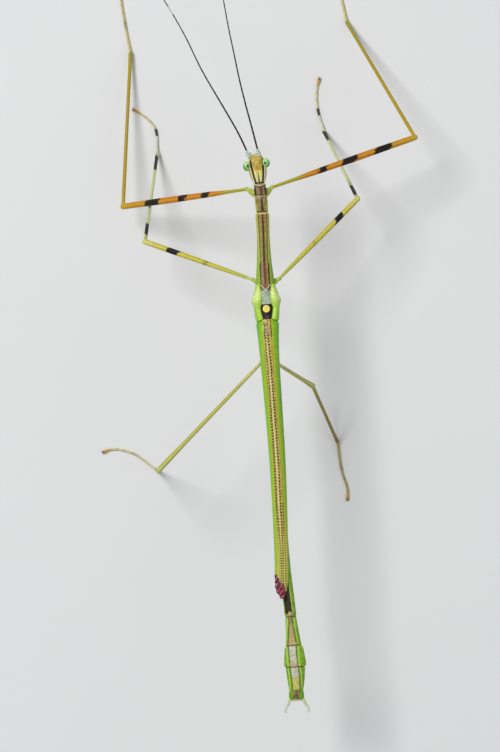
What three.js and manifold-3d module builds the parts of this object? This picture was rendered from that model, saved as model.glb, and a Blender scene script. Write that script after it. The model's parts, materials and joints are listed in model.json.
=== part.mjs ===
// A winged male stick insect of the Necrosciinae, life size, standing on its six feet.
// Millimetres, +Z up. The head points along +Y, the animal's right side is +X, and the soles lie at z = 0.
// The body, wings, feelers and legs are separate closed solids that meet with a small gap.

import * as THREE from "three";
import { mergeVertices } from "three/addons/utils/BufferGeometryUtils.js";
import Module from "manifold-3d";

const wasm = await Module();
wasm.setup();

// ---------------------------------------------------------------- driving dimensions

const RING_GAP = 0.08; // between two rings of the body, and between the body and what lies on it
const JOINT_GAP = 0.1; // between two segments of a limb
const BODY_SIDES = 16;
const LIMB_SIDES = 10;

// The middle line of the body, from the front of the head to the tip of the abdomen.
const SPINE = new THREE.CatmullRomCurve3(
  [
    [0.6, 24.65, 17.0],
    [1.06, 21.35, 16.95],
    [1.37, 17.89, 16.85],
    [1.59, 12.44, 16.8],
    [1.94, 6.22, 16.8],
    [2.56, -2.67, 16.75],
    [3.11, -10.44, 16.65],
    [3.78, -20.44, 16.5],
    [4.53, -26.78, 16.4],
    [5.04, -32.33, 16.35],
    [5.19, -36.11, 16.35],
  ].map((p) => new THREE.Vector3(...p)),
);
const SPINE_LENGTH = SPINE.getLength();

// Each ring of the body: [distance behind the front of the head, half-width, height above and
// depth below the middle line] at the places where its outline changes.
const BODY_RINGS = {
  head: [
    [0.0, 0.5, 0.16, 0.42],
    [0.12, 0.62, 0.28, 0.56],
    [0.5, 0.8, 0.44, 0.7],
    [0.95, 0.96, 0.57, 0.78],
    [1.45, 1.05, 0.65, 0.8],
    [2.0, 1.02, 0.67, 0.78],
    [2.5, 0.9, 0.64, 0.72],
    [2.95, 0.76, 0.57, 0.62],
    [3.24, 0.64, 0.48, 0.52],
  ],
  prothorax: [
    [3.32, 0.58, 0.47, 0.52],
    [3.5, 0.67, 0.56, 0.6],
    [4.4, 0.68, 0.6, 0.64],
    [4.72, 0.65, 0.55, 0.64],
    [5.05, 0.69, 0.6, 0.64],
    [6.2, 0.69, 0.6, 0.62],
    [6.42, 0.63, 0.53, 0.56],
  ],
  mesothorax: [
    [6.5, 0.63, 0.53, 0.56],
    [6.8, 0.77, 0.62, 0.66],
    [8.0, 0.7, 0.6, 0.66],
    [9.2, 0.67, 0.6, 0.66],
    [10.8, 0.73, 0.62, 0.7],
    [12.2, 0.81, 0.66, 0.74],
    [13.5, 0.93, 0.72, 0.8],
    [14.5, 0.98, 0.76, 0.84],
    [14.82, 0.92, 0.7, 0.78],
  ],
  metathorax: [
    [14.9, 0.92, 0.7, 0.78],
    [15.3, 0.97, 0.76, 0.84],
    [17.0, 0.96, 0.8, 0.84],
    [18.6, 0.86, 0.76, 0.82],
    [20.5, 0.78, 0.72, 0.8],
    [22.6, 0.84, 0.72, 0.84],
    [23.8, 0.76, 0.68, 0.76],
    [24.26, 0.64, 0.6, 0.64],
  ],
};

// The rings of the abdomen under the wings, from the second to the sixth, are alike.
const ABDOMEN_START = 24.34;
const PLAIN_RINGS = { first: 2, lengths: [5.45, 5.6, 5.65, 5.65, 4.9] };
const PLAIN_NECK = { front: 0.3, rear: 0.35, scale: 0.88 }; // each ring narrows at its joints
const PLAIN_SIZE = { front: [0.62, 0.58, 0.62], rear: [0.66, 0.6, 0.62] };

// The last four rings of the abdomen swell and taper again.
const TERMINAL_RINGS = {
  abdomen_segment_7: [
    [51.67, 0.57, 0.52, 0.54],
    [52.0, 0.62, 0.56, 0.6],
    [53.4, 0.72, 0.62, 0.68],
    [54.5, 0.85, 0.68, 0.76],
    [54.74, 0.82, 0.64, 0.72],
  ],
  abdomen_segment_8: [
    [54.82, 0.93, 0.68, 0.76],
    [55.1, 1.04, 0.74, 0.84],
    [56.2, 1.17, 0.8, 0.92],
    [57.0, 1.26, 0.82, 0.96],
    [57.16, 1.16, 0.76, 0.9],
  ],
  abdomen_segment_9: [
    [57.24, 1.03, 0.72, 0.9],
    [57.5, 1.05, 0.74, 0.94],
    [58.6, 0.95, 0.66, 0.9],
    [59.6, 0.8, 0.56, 0.66],
    [59.76, 0.74, 0.5, 0.52],
  ],
  abdomen_segment_10: [
    [59.84, 0.76, 0.46, 0.4],
    [60.1, 0.86, 0.5, 0.44],
    [60.65, 0.88, 0.44, 0.42],
    [61.0, 0.7, 0.3, 0.32],
  ],
};

const EYE = { back: 1.16, out: 1.08, up: 0.2, size: [0.43, 0.54, 0.46] };
const MOUTH_RINGS = [
  [-0.12, 0.3, 0.3],
  [0.15, 0.42, 0.42],
  [0.7, 0.44, 0.46],
  [1.15, 0.32, 0.34],
];
const MOUTH_DROP = 0.72; // how far the middle of the mouthparts lies below the spine

// Feelers: the joint at the head and the route of the whip, ahead of and above it.
const FEELER_RADIUS = 0.25;
const FEELER_BASE = { length: 0.55, radius: 0.28 };
const FEELER_LENGTHS = 3; // each whip is divided into this many nodes
const FEELER_RINGS = 7; // for each of them
const FEELERS = {
  left: [
    [-0.16, 24.5, 17.2],
    [-0.55, 25.4, 17.5],
    [-1.42, 27.15, 18.2],
    [-2.79, 29.5, 19.0],
    [-5.38, 33.9, 20.0],
    [-7.2, 37.6, 20.5],
    [-9.36, 41.3, 20.6],
    [-12.1, 45.3, 20.4],
    [-14.9, 49.3, 20.0],
    [-19.0, 54.9, 19.2],
    [-23.2, 60.3, 18.2],
  ],
  right: [
    [0.98, 24.6, 17.2],
    [0.74, 25.5, 17.5],
    [0.12, 27.85, 18.2],
    [-0.55, 30.3, 19.0],
    [-1.22, 33.0, 20.0],
    [-1.78, 35.65, 20.5],
    [-2.33, 38.25, 20.6],
    [-3.1, 42.4, 20.5],
    [-4.2, 48.0, 20.1],
    [-5.8, 54.6, 19.3],
    [-7.7, 61.6, 18.0],
  ],
};

// A tegmen (the short fore wing) is a shell round the shoulder of the metathorax.
// Each row: [distance along the body, thickness, lower and upper edge in degrees above the side].
const TEGMEN_ROWS = [
  [14.94, 0.26, 8, 58],
  [15.4, 0.35, -6, 66],
  [16.3, 0.56, -14, 67],
  [17.15, 0.47, -14, 58],
  [17.8, 0.45, -10, 60],
  [18.5, 0.42, 2, 63],
];
const TEGMEN_ARC = 5;

// A hind wing is folded along the back, half over each side of the abdomen.
// Each row: [distance along the wing, half-width, inner half-width, lower edge, inner and outer
// height above the spine].
const WING_LINE = new THREE.CatmullRomCurve3(
  [
    [1.94, 6.05, 16.8],
    [2.13, 2.89, 16.8],
    [2.56, -2.67, 16.75],
    [3.11, -10.44, 16.65],
    [3.5, -20.44, 16.5],
    [3.52, -23.6, 16.44],
    [3.72, -24.7, 16.42],
  ].map((p) => new THREE.Vector3(...p)),
);
const WING_ROWS = [
  [0.0, 1.3, 0.96, -0.02, 0.88, 1.36],
  [1.5, 1.2, 0.92, 0.0, 0.86, 1.38],
  [3.2, 1.12, 0.93, 0.1, 0.83, 1.34],
  [5.2, 1.06, 0.86, 0.12, 0.8, 1.3],
  [8.8, 1.0, 0.74, 0.05, 0.7, 1.22],
  [16.6, 0.9, 0.72, 0.14, 0.7, 1.2],
  [22.0, 0.83, 0.72, 0.28, 0.7, 1.18],
  [26.8, 0.78, 0.68, 0.46, 0.72, 1.18],
  [28.9, 0.76, 0.64, 0.66, 0.78, 1.16],
  [30.1, 0.56, 0.46, 0.74, 0.82, 1.12],
  [30.75, 0.26, 0.2, 0.8, 0.86, 1.02],
];
const WING_ARC = 6;
const WING_CROWN = 0.8; // below 1 the roof of a wing is flatter than an ellipse

const CERCUS = { radius: 0.24, tip: 0.16, sides: 8 };
const CERCUS_ROUTE = [
  [0.72, 60.75, 0.0],
  [0.98, 61.35, -0.02],
  [1.24, 61.75, -0.04],
  [1.3, 62.1, -0.06],
  [1.15, 62.28, -0.08],
]; // [out from the spine, distance along it, height]

// Legs. Lengths belong to a pair, and the stance to each leg.
const HIP_HEIGHT = 16.3;
const ANKLE_HEIGHT = 0.62;
const SOLE_HEIGHT = 0.22; // the middle of the toes above the floor
const BALL = { hip: 0.36, knee: 0.34, ankle: 0.28 };
const BALL_RINGS = [-0.6, 0, 0.5, 0.85, 0.99]; // shares of the radius, from the shaft to the pole

// The coxa runs from a root inside the thorax, this far out from the spine, below it and behind
// the hip, to the hip. Each row: [share of the way to the hip, radius].
const COXA_ROOT = { out: 0.35, below: 0.35, behind: { front: 0.8, mid: 0.6, hind: 0 } };
const COXA_ROWS = [
  [0, 0.5],
  [0.35, 0.5],
  [0.7, 0.46],
  [1, 0.36],
  [1.18, 0.29],
  [1.32, 0.14],
];

// The foot: [share of the first joint, of the three short ones, or of the last, half-width,
// half-height] along its three stretches.
const FOOT_START_HEIGHT = 0.56;
const LAST_JOINT_HEIGHT = 0.27;
const FOOT_ROWS = [
  [[0, 0.22, 0.22], [0.06, 0.26, 0.26], [0.8, 0.26, 0.26], [0.9, 0.3, 0.27]],
  [[0.04, 0.28, 0.25], [0.35, 0.32, 0.25], [0.7, 0.3, 0.25], [1, 0.28, 0.25]],
  [[0.55, 0.3, 0.26], [0.85, 0.44, 0.27], [1, 0.3, 0.22]],
];
const LEGS = {
  front: {
    femur: 18.2,
    tibia: 18.2,
    tarsus: [3.9, 2.3, 1.2],
    // [share of the length, radius]
    femurRadii: [[0, 0.24], [0.16, 0.26], [0.3, 0.36], [0.6, 0.39], [0.92, 0.36]],
    tibiaRadii: [[0, 0.22], [0.05, 0.27], [0.5, 0.26], [0.94, 0.26]],
  },
  mid: {
    femur: 13.8,
    tibia: 14.4,
    tarsus: [2.9, 2.4, 1.2],
    femurRadii: [[0, 0.24], [0.16, 0.27], [0.4, 0.31], [0.92, 0.34]],
    tibiaRadii: [[0, 0.22], [0.05, 0.27], [0.5, 0.25], [0.94, 0.26]],
  },
  hind: {
    femur: 16.5,
    tibia: 16.34,
    tarsus: [3.5, 2.4, 1.2],
    femurRadii: [[0, 0.24], [0.16, 0.26], [0.6, 0.27], [0.94, 0.32]],
    tibiaRadii: [[0, 0.22], [0.05, 0.26], [0.5, 0.25], [0.94, 0.26]],
  },
};

// Headings are degrees clockwise from straight ahead, seen from above.
const STANCES = [
  { pair: "front", side: "left", hip: [-0.3, 20.78], kneeHeight: 5.2,
    femurHeading: -96.4, tibiaHeading: 2.4, toeHeadings: [-10.4, -9, -5],
    femur: 18.0, tibia: 18.25 },
  { pair: "front", side: "right", hip: [2.42, 20.98], kneeHeight: 10.2,
    femurHeading: 70.1, tibiaHeading: -28.9, toeHeadings: [-12.5, -13, -9] },
  { pair: "mid", side: "left", hip: [0.38, 10.7], kneeHeight: 10.8,
    femurHeading: -70.2, tibiaHeading: 6.6, toeHeadings: [-5.8, -46, -61.7],
    femur: 14.05, tibia: 14.6 },
  { pair: "mid", side: "right", hip: [3.22, 10.8], kneeHeight: 11.55,
    femurHeading: 44.3, tibiaHeading: -24.2, toeHeadings: [-14.8, 0, 15],
    femur: 13.52, tibia: 14.05 },
  { pair: "hind", side: "left", hip: [1.22, 1.47], kneeHeight: 16.95,
    femurHeading: -136.4, tibiaHeading: -111, toeHeadings: [-56.6, -82, -110.8] },
  // The right hind leg is a regrown one: slender and shorter than its fellow.
  { pair: "hind", side: "right", hip: [3.0, 1.4], kneeHeight: 7.63,
    femurHeading: 121.7, tibiaHeading: 155.5, toeHeadings: [171, 164, 183],
    femur: 9.9, tibia: 9.9 },
];

const COLOURS = {
  head: 0xc0b455,
  eye: 0x78d878,
  mouthparts: 0xa9a650,
  feelerBase: 0xb9c8b0,
  feeler: 0x15120e,
  thorax: 0x96764f,
  metathorax: 0x8f9c38,
  abdomen: 0x7cbf28,
  terminal: 0x84bb3a,
  cercus: 0xc3cd96,
  tegmen: 0xa6dc3c,
  wing: 0x86c832,
  coxa: 0xa6b244,
  frontFemur: 0xcd8216,
  frontTibia: 0xb9962a,
  midFemur: 0xaaa52a,
  midTibia: 0xc8d796,
  hindFemur: 0xaaaa46,
  hindTibia: 0xb4b060,
  tarsus: 0xbebe78,
};

// ---------------------------------------------------------------- shape helpers

function vector(x, y, z) {
  return new THREE.Vector3(x, y, z);
}

const UP = vector(0, 0, 1);

// A row between two rows of a table, by its first column.
function between(rows, at) {
  const last = rows.findIndex((row) => row[0] >= at);
  if (last === -1) return rows[rows.length - 1].slice();
  if (last === 0) return rows[0].slice();
  const [a, b] = [rows[last - 1], rows[last]];
  const share = (at - a[0]) / (b[0] - a[0]);
  return a.map((value, i) => THREE.MathUtils.lerp(value, b[i], share));
}

// Triangles over a flat ring of points, wound the way the ring runs.
function capFaces(ring) {
  const normal = vector(0, 0, 0);
  ring.forEach((p, i) => normal.add(p.clone().cross(ring[(i + 1) % ring.length])));
  normal.normalize();
  const across = ring[1].clone().sub(ring[0]).projectOnPlane(normal).normalize();
  const along = normal.clone().cross(across);
  const flat = ring.map((p) => new THREE.Vector2(p.dot(across), p.dot(along)));
  return THREE.ShapeUtils.triangulateShape(flat, []);
}

// A closed body through rings that all have the same number of points.
function loft(rings) {
  const sides = rings[0].length;
  const faces = [];
  for (let r = 0; r + 1 < rings.length; r++) {
    for (let i = 0; i < sides; i++) {
      const j = (i + 1) % sides;
      const [a, b] = [r * sides + i, r * sides + j];
      faces.push(a, b, b + sides, a, b + sides, a + sides);
    }
  }
  capFaces(rings[0]).forEach(([a, b, c]) => faces.push(a, c, b));
  const end = (rings.length - 1) * sides;
  capFaces(rings[rings.length - 1]).forEach(([a, b, c]) => faces.push(end + a, end + b, end + c));

  const points = rings.flat();
  let volume = 0;
  for (let f = 0; f < faces.length; f += 3) {
    const [a, b, c] = faces.slice(f, f + 3).map((index) => points[index]);
    volume += a.dot(b.clone().cross(c));
  }
  if (volume < 0) faces.reverse();

  const geometry = new THREE.BufferGeometry().setFromPoints(points);
  geometry.setIndex(faces);
  geometry.computeVertexNormals();
  return geometry;
}

// An egg-shaped ring: as wide on both sides, but with its own height above and depth below.
function eggRing(centre, across, up, halfWidth, above, below, sides) {
  return Array.from({ length: sides }, (_, i) => {
    const angle = (2 * Math.PI * i) / sides;
    const rise = Math.sin(angle) * (Math.sin(angle) > 0 ? above : below);
    return centre
      .clone()
      .addScaledVector(across, halfWidth * Math.cos(angle))
      .addScaledVector(up, rise);
  });
}

// The place, the right-hand direction and the upward direction at a distance along a curve.
function frameOn(curve, distance) {
  const length = curve.getLength();
  const share = THREE.MathUtils.clamp(distance / length, 0, 1);
  const back = curve.getTangentAt(share);
  const across = UP.clone().cross(back).normalize();
  const up = back.clone().cross(across);
  const centre = curve.getPointAt(share).addScaledVector(back, distance - share * length);
  return { centre, across, up };
}

// A point of the body: out to the right of the spine, along it and above it.
function onBody(out, distance, height) {
  const { centre, across, up } = frameOn(SPINE, distance);
  return centre.addScaledVector(across, out).addScaledVector(up, height);
}

function bodyLoft(rows, grow = 0) {
  return loft(
    rows.map(([distance, halfWidth, above, below]) => {
      const { centre, across, up } = frameOn(SPINE, distance);
      const sizes = [halfWidth + grow, above + grow, below + grow];
      return eggRing(centre, across, up, ...sizes, BODY_SIDES);
    }),
  );
}

// A tube with its own half-width and half-height at each point of its path.
function tube(path, sizes, sides) {
  const rings = path.map((p, i) => {
    const behind = path[Math.max(i - 1, 0)];
    const beyond = path[Math.min(i + 1, path.length - 1)];
    const ahead = beyond.clone().sub(behind).normalize();
    const across = ahead.clone().cross(UP).normalize();
    const up = across.clone().cross(ahead);
    const [halfWidth, halfHeight] = sizes[i];
    return eggRing(p, across, up, halfWidth, halfHeight, halfHeight, sides);
  });
  return loft(rings);
}

// A straight limb along +Y, from a start to the joint at its far end, which it closes with a ball.
function limb(start, length, radii, ball) {
  const shaft = radii.map(([share, radius]) => [
    THREE.MathUtils.lerp(start, length, share),
    radius,
  ]);
  const knob = BALL_RINGS.map((share) => [
    length + share * ball,
    ball * Math.sqrt(1 - share * share),
  ]);
  const across = vector(1, 0, 0);
  return loft(
    [...shaft.filter(([y]) => y < length - ball), ...knob].map(([y, radius]) =>
      eggRing(vector(0, y, 0), across, UP, radius, radius, radius, LIMB_SIDES),
    ),
  );
}

// ---------------------------------------------------------------- joining and cutting

function solidOf(geometry) {
  const bare = geometry.clone();
  bare.deleteAttribute("normal");
  bare.deleteAttribute("uv");
  const merged = mergeVertices(bare, 1e-4);
  return new wasm.Manifold(
    new wasm.Mesh({
      numProp: 3,
      vertProperties: new Float32Array(merged.attributes.position.array),
      triVerts: new Uint32Array(merged.index.array),
    }),
  );
}

function geometryOf(solid) {
  const { vertProperties, triVerts } = solid.getMesh();
  const geometry = new THREE.BufferGeometry();
  geometry.setAttribute("position", new THREE.BufferAttribute(vertProperties, 3));
  geometry.setIndex(new THREE.BufferAttribute(triVerts, 1));
  geometry.computeVertexNormals();
  return geometry;
}

function cut(geometry, ...tools) {
  const left = tools.reduce((solid, tool) => solid.subtract(solidOf(tool)), solidOf(geometry));
  return geometryOf(left);
}

// ---------------------------------------------------------------- the scene graph

const insect = new THREE.Group();

function paint(colour, roughness = 0.55) {
  return new THREE.MeshStandardMaterial({ color: colour, roughness, metalness: 0 });
}

// A mesh whose own origin is at the given place, from geometry drawn in the insect's frame.
function placed(parent, name, geometry, colour, origin, roughness) {
  const local = geometry.clone().translate(-origin.x, -origin.y, -origin.z);
  const mesh = new THREE.Mesh(local, paint(colour, roughness));
  mesh.name = name;
  mesh.position.copy(origin);
  parent.add(mesh);
  return mesh;
}

// ---------------------------------------------------------------- head

function eyeball(side, grow) {
  const [halfWidth, halfLength, halfHeight] = EYE.size.map((half) => half + grow);
  const ball = new THREE.SphereGeometry(1, 14, 10).scale(halfWidth, halfLength, halfHeight);
  const { across } = frameOn(SPINE, EYE.back);
  const turn = Math.atan2(across.y, across.x);
  const centre = onBody(side * EYE.out, EYE.back, EYE.up);
  return { ball: ball.rotateZ(turn), centre };
}

function addHead() {
  const sockets = [-1, 1].map((side) => {
    const { ball, centre } = eyeball(side, RING_GAP);
    return ball.translate(centre.x, centre.y, centre.z);
  });
  const mouth = loft(
    MOUTH_RINGS.map(([distance, halfWidth, halfHeight]) => {
      const { centre, across, up } = frameOn(SPINE, distance);
      centre.addScaledVector(up, -MOUTH_DROP);
      return eggRing(centre, across, up, halfWidth, halfHeight, halfHeight, LIMB_SIDES);
    }),
  );
  const headRows = BODY_RINGS.head;
  const head = cut(bodyLoft(headRows), ...sockets);
  const middle = onBody(0, 1.6, 0);
  placed(insect, "head", head, COLOURS.head, middle);
  placed(insect, "mouthparts", cut(mouth, bodyLoft(headRows, RING_GAP)), COLOURS.mouthparts,
    onBody(0, 0.4, -MOUTH_DROP));
  for (const [name, side] of [["eye_left", -1], ["eye_right", 1]]) {
    const { ball, centre } = eyeball(side, 0);
    const mesh = new THREE.Mesh(ball, paint(COLOURS.eye, 0.15));
    mesh.name = name;
    mesh.position.copy(centre);
    insect.add(mesh);
  }
}

// ---------------------------------------------------------------- feelers

function addFeeler(name, points, head) {
  const route = new THREE.CatmullRomCurve3(points.map((p) => vector(...p)));
  const length = route.getLength();
  const group = new THREE.Group();
  insect.add(group);

  // The scape and pedicel, from the head to the start of the whip.
  const start = route.getPointAt(0);
  const baseEnd = route.getPointAt(FEELER_BASE.length / length);
  const basePath = [0, 0.2, 0.75, 1].map((share) => start.clone().lerp(baseEnd, share));
  const baseSizes = [0.8, 1, 1, 0.85].map((share) => [
    share * FEELER_BASE.radius,
    share * FEELER_BASE.radius,
  ]);
  const base = cut(tube(basePath, baseSizes, LIMB_SIDES), head);
  placed(group, name + "_base", base, COLOURS.feelerBase, start);

  const first = FEELER_BASE.length + JOINT_GAP;
  const share = (length - first) / FEELER_LENGTHS;
  for (let n = 0; n < FEELER_LENGTHS; n++) {
    const from = first + n * share;
    const to = from + share - (n + 1 < FEELER_LENGTHS ? JOINT_GAP : 0);
    const path = Array.from({ length: FEELER_RINGS }, (_, i) =>
      route.getPointAt(THREE.MathUtils.lerp(from, to, i / (FEELER_RINGS - 1)) / length),
    );
    const sizes = path.map(() => [FEELER_RADIUS, FEELER_RADIUS]);
    placed(group, name + "_" + (n + 1), tube(path, sizes, 8), COLOURS.feeler, path[0]);
  }
}

// ---------------------------------------------------------------- thorax and abdomen

function abdomenRows(number) {
  const { first, lengths } = PLAIN_RINGS;
  const place = number - first;
  const ahead = lengths.slice(0, place).reduce((sum, length) => sum + length, 0);
  const from = ABDOMEN_START + ahead;
  const share = place / (lengths.length - 1);
  const size = PLAIN_SIZE.front.map((value, i) =>
    THREE.MathUtils.lerp(value, PLAIN_SIZE.rear[i], share),
  );
  const end = from + lengths[place] - RING_GAP;
  return [
    [from, PLAIN_NECK.scale],
    [from + PLAIN_NECK.front, 1],
    [end - PLAIN_NECK.rear, 1],
    [end, PLAIN_NECK.scale],
  ].map(([distance, scale]) => [distance, ...size.map((value) => value * scale)]);
}

function addBody() {
  for (const name of ["prothorax", "mesothorax", "metathorax"]) {
    const rows = BODY_RINGS[name];
    const colour = name === "metathorax" ? COLOURS.metathorax : COLOURS.thorax;
    placed(insect, name, bodyLoft(rows), colour, onBody(0, rows[0][0], 0));
  }
  PLAIN_RINGS.lengths.forEach((_, i) => {
    const rows = abdomenRows(PLAIN_RINGS.first + i);
    const name = "abdomen_segment_" + (PLAIN_RINGS.first + i);
    placed(insect, name, bodyLoft(rows), COLOURS.abdomen, onBody(0, rows[0][0], 0));
  });
  for (const [name, rows] of Object.entries(TERMINAL_RINGS)) {
    placed(insect, name, bodyLoft(rows), COLOURS.terminal, onBody(0, rows[0][0], 0));
  }
  const tip = bodyLoft(TERMINAL_RINGS.abdomen_segment_10, RING_GAP);
  for (const [name, side] of [["cercus_left", -1], ["cercus_right", 1]]) {
    const path = CERCUS_ROUTE.map(([out, distance, height]) =>
      onBody(side * out, distance, height),
    );
    const sizes = path.map((_, i) => {
      const radius = THREE.MathUtils.lerp(CERCUS.radius, CERCUS.tip, i / (path.length - 1));
      return [radius, radius];
    });
    const cercus = cut(tube(path, sizes, CERCUS.sides), tip);
    placed(insect, name, cercus, COLOURS.cercus, path[0]);
  }
}

// ---------------------------------------------------------------- wings

// A shell round the metathorax, between two angles above the animal's side.
function addTegmen(name, side) {
  const rings = TEGMEN_ROWS.map(([distance, thickness, low, high]) => {
    const [, halfWidth, above, below] = between(BODY_RINGS.metathorax, distance);
    const arc = (grow, from, to) =>
      Array.from({ length: TEGMEN_ARC + 1 }, (_, i) => {
        const angle = THREE.MathUtils.degToRad(THREE.MathUtils.lerp(from, to, i / TEGMEN_ARC));
        const height = (Math.sin(angle) > 0 ? above : below) + grow;
        const out = (halfWidth + grow) * Math.cos(angle);
        return onBody(side * out, distance, height * Math.sin(angle));
      });
    return [...arc(RING_GAP + thickness, low, high), ...arc(RING_GAP, high, low)];
  });
  placed(insect, name, loft(rings), COLOURS.tegmen, onBody(side * 1.2, 15, 0.5), 0.45);
}

// An arched half-roof over the abdomen, open below and flat against its fellow at the midline.
function addWing(name, side) {
  const rings = WING_ROWS.map(([distance, halfWidth, inside, low, inner, outer]) => {
    const { centre, across, up } = frameOn(WING_LINE, distance);
    const point = (out, height) =>
      centre
        .clone()
        .addScaledVector(across, side * out)
        .addScaledVector(up, height);
    const arch = (width, top, backwards) =>
      Array.from({ length: WING_ARC + 1 }, (_, i) => {
        const angle = ((backwards ? WING_ARC - i : i) / WING_ARC) * (Math.PI / 2);
        const out = Math.max(width * Math.sin(angle), RING_GAP / 2);
        return point(out, low + (top - low) * Math.cos(angle) ** WING_CROWN);
      });
    return [...arch(halfWidth, outer, false), ...arch(inside, inner, true)];
  });
  placed(insect, name, loft(rings), COLOURS.wing, rings[0][0], 0.45);
}

// ---------------------------------------------------------------- legs

function headingVector(degrees) {
  const angle = THREE.MathUtils.degToRad(degrees);
  return vector(Math.sin(angle), Math.cos(angle), 0);
}

// The far joint of a segment that keeps its length, its heading and the height of both joints.
function reach(from, length, heading, height) {
  const drop = height - from.z;
  const run = Math.sqrt(Math.max(length * length - drop * drop, 0));
  return from.clone().addScaledVector(headingVector(heading), run).setZ(height);
}

function aimed(parent, name, geometry, colour, from, to) {
  const mesh = new THREE.Mesh(geometry, paint(colour));
  mesh.name = name;
  mesh.position.copy(from);
  mesh.quaternion.setFromUnitVectors(vector(0, 1, 0), to.clone().sub(from).normalize());
  parent.add(mesh);
}

// The short coxa: from inside the wall of the thorax to the hip, cut to fit the wall.
function coxa(hip, behind, body) {
  const { distance, out } = nearestOnSpine(hip);
  const root = onBody(Math.sign(out) * COXA_ROOT.out, distance + behind, -COXA_ROOT.below);
  const path = COXA_ROWS.map(([share]) => root.clone().lerp(hip, share));
  const sizes = COXA_ROWS.map(([, radius]) => [radius, radius]);
  return cut(tube(path, sizes, LIMB_SIDES), ...body);
}

function nearestOnSpine(point) {
  let best = { distance: 0, gap: Infinity, out: 0 };
  for (let distance = 0; distance < SPINE_LENGTH; distance += 0.05) {
    const { centre, across } = frameOn(SPINE, distance);
    const offset = point.clone().sub(centre).setZ(0);
    if (offset.length() < best.gap) {
      best = { distance, gap: offset.length(), out: offset.dot(across) };
    }
  }
  return best;
}

// The five-jointed foot: a long first joint, three short ones flat on the floor, and the last
// with its claws. Whatever would dip under the floor is cut off level with it.
function tarsus(ankle, lengths, headings) {
  const start = BALL.ankle + JOINT_GAP;
  const runs = [lengths[0] - start, lengths[1], lengths[2]];
  const points = [ankle.clone().addScaledVector(headingVector(headings[0]), start)];
  points[0].z = FOOT_START_HEIGHT;
  runs.forEach((run, i) => {
    points.push(points[i].clone().addScaledVector(headingVector(headings[i]), run));
    points[i + 1].z = i < 2 ? SOLE_HEIGHT : LAST_JOINT_HEIGHT;
  });
  const route = new THREE.CatmullRomCurve3(points, false, "chordal");
  const total = runs[0] + runs[1] + runs[2];
  const path = [];
  const sizes = [];
  let done = 0;
  FOOT_ROWS.forEach((rows, i) => {
    rows.forEach(([share, halfWidth, halfHeight]) => {
      path.push(route.getPointAt((done + share * runs[i]) / total));
      sizes.push([halfWidth, halfHeight]);
    });
    done += runs[i];
  });
  const foot = tube(path, sizes, LIMB_SIDES);
  const position = foot.attributes.position;
  for (let i = 0; i < position.count; i++) {
    position.setZ(i, Math.max(position.getZ(i), 0));
  }
  return foot;
}

function addLeg(stance, body) {
  const { pair, side, femurHeading, tibiaHeading, toeHeadings, kneeHeight } = stance;
  const { femurRadii, tibiaRadii, tarsus: toes } = LEGS[pair];
  const femurLength = stance.femur ?? LEGS[pair].femur;
  const tibiaLength = stance.tibia ?? LEGS[pair].tibia;
  const hip = vector(...stance.hip, HIP_HEIGHT);
  const knee = reach(hip, femurLength, femurHeading, kneeHeight);
  const ankle = reach(knee, tibiaLength, tibiaHeading, ANKLE_HEIGHT);
  const name = pair + "_" + side + "_";

  const leg = new THREE.Group();
  leg.position.copy(hip);
  insect.add(leg);
  const local = (point) => point.clone().sub(hip);

  const hipPiece = coxa(hip, COXA_ROOT.behind[pair], body).translate(-hip.x, -hip.y, -hip.z);
  placed(leg, name + "coxa", hipPiece, COLOURS.coxa, vector(0, 0, 0));
  const femur = limb(BALL.hip + JOINT_GAP, femurLength, femurRadii, BALL.knee);
  aimed(leg, name + "femur", femur, COLOURS[pair + "Femur"], local(hip), local(knee));
  const tibia = limb(BALL.knee + JOINT_GAP, tibiaLength, tibiaRadii, BALL.ankle);
  aimed(leg, name + "tibia", tibia, COLOURS[pair + "Tibia"], local(knee), local(ankle));
  const foot = tarsus(ankle, toes, toeHeadings).translate(-hip.x, -hip.y, -hip.z);
  placed(leg, name + "tarsus", foot, COLOURS.tarsus, local(ankle).setZ(-hip.z));
}

// ---------------------------------------------------------------- assembly

addHead();
const headWall = bodyLoft(BODY_RINGS.head, RING_GAP);
addFeeler("antenna_left", FEELERS.left, headWall);
addFeeler("antenna_right", FEELERS.right, headWall);
addBody();
for (const [side, sign] of [["left", -1], ["right", 1]]) {
  addTegmen("tegmen_" + side, sign);
  addWing("wing_" + side, sign);
}
const thorax = ["prothorax", "mesothorax", "metathorax"];
const walls = thorax.map((name) => bodyLoft(BODY_RINGS[name], RING_GAP));
for (const stance of STANCES) {
  addLeg(stance, walls);
}

// The origin is on the floor under the middle of the whole insect.
const box = new THREE.Box3().setFromObject(insect, true);
const middle = box.getCenter(vector(0, 0, 0));
insect.position.set(-middle.x, -middle.y, 0);

const part = new THREE.Group();
part.add(insect);

export default part;
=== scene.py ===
"""The looks of a winged male stick insect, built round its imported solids.

Lengths here are millimetres in the animal's own frame (+Y ahead, +X to its right, floor at z = 0),
and are turned into metres in the model's frame when a mesh is made.
"""

import json
import math

import bpy
import numpy as np
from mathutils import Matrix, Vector
from mathutils.kdtree import KDTree

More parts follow.
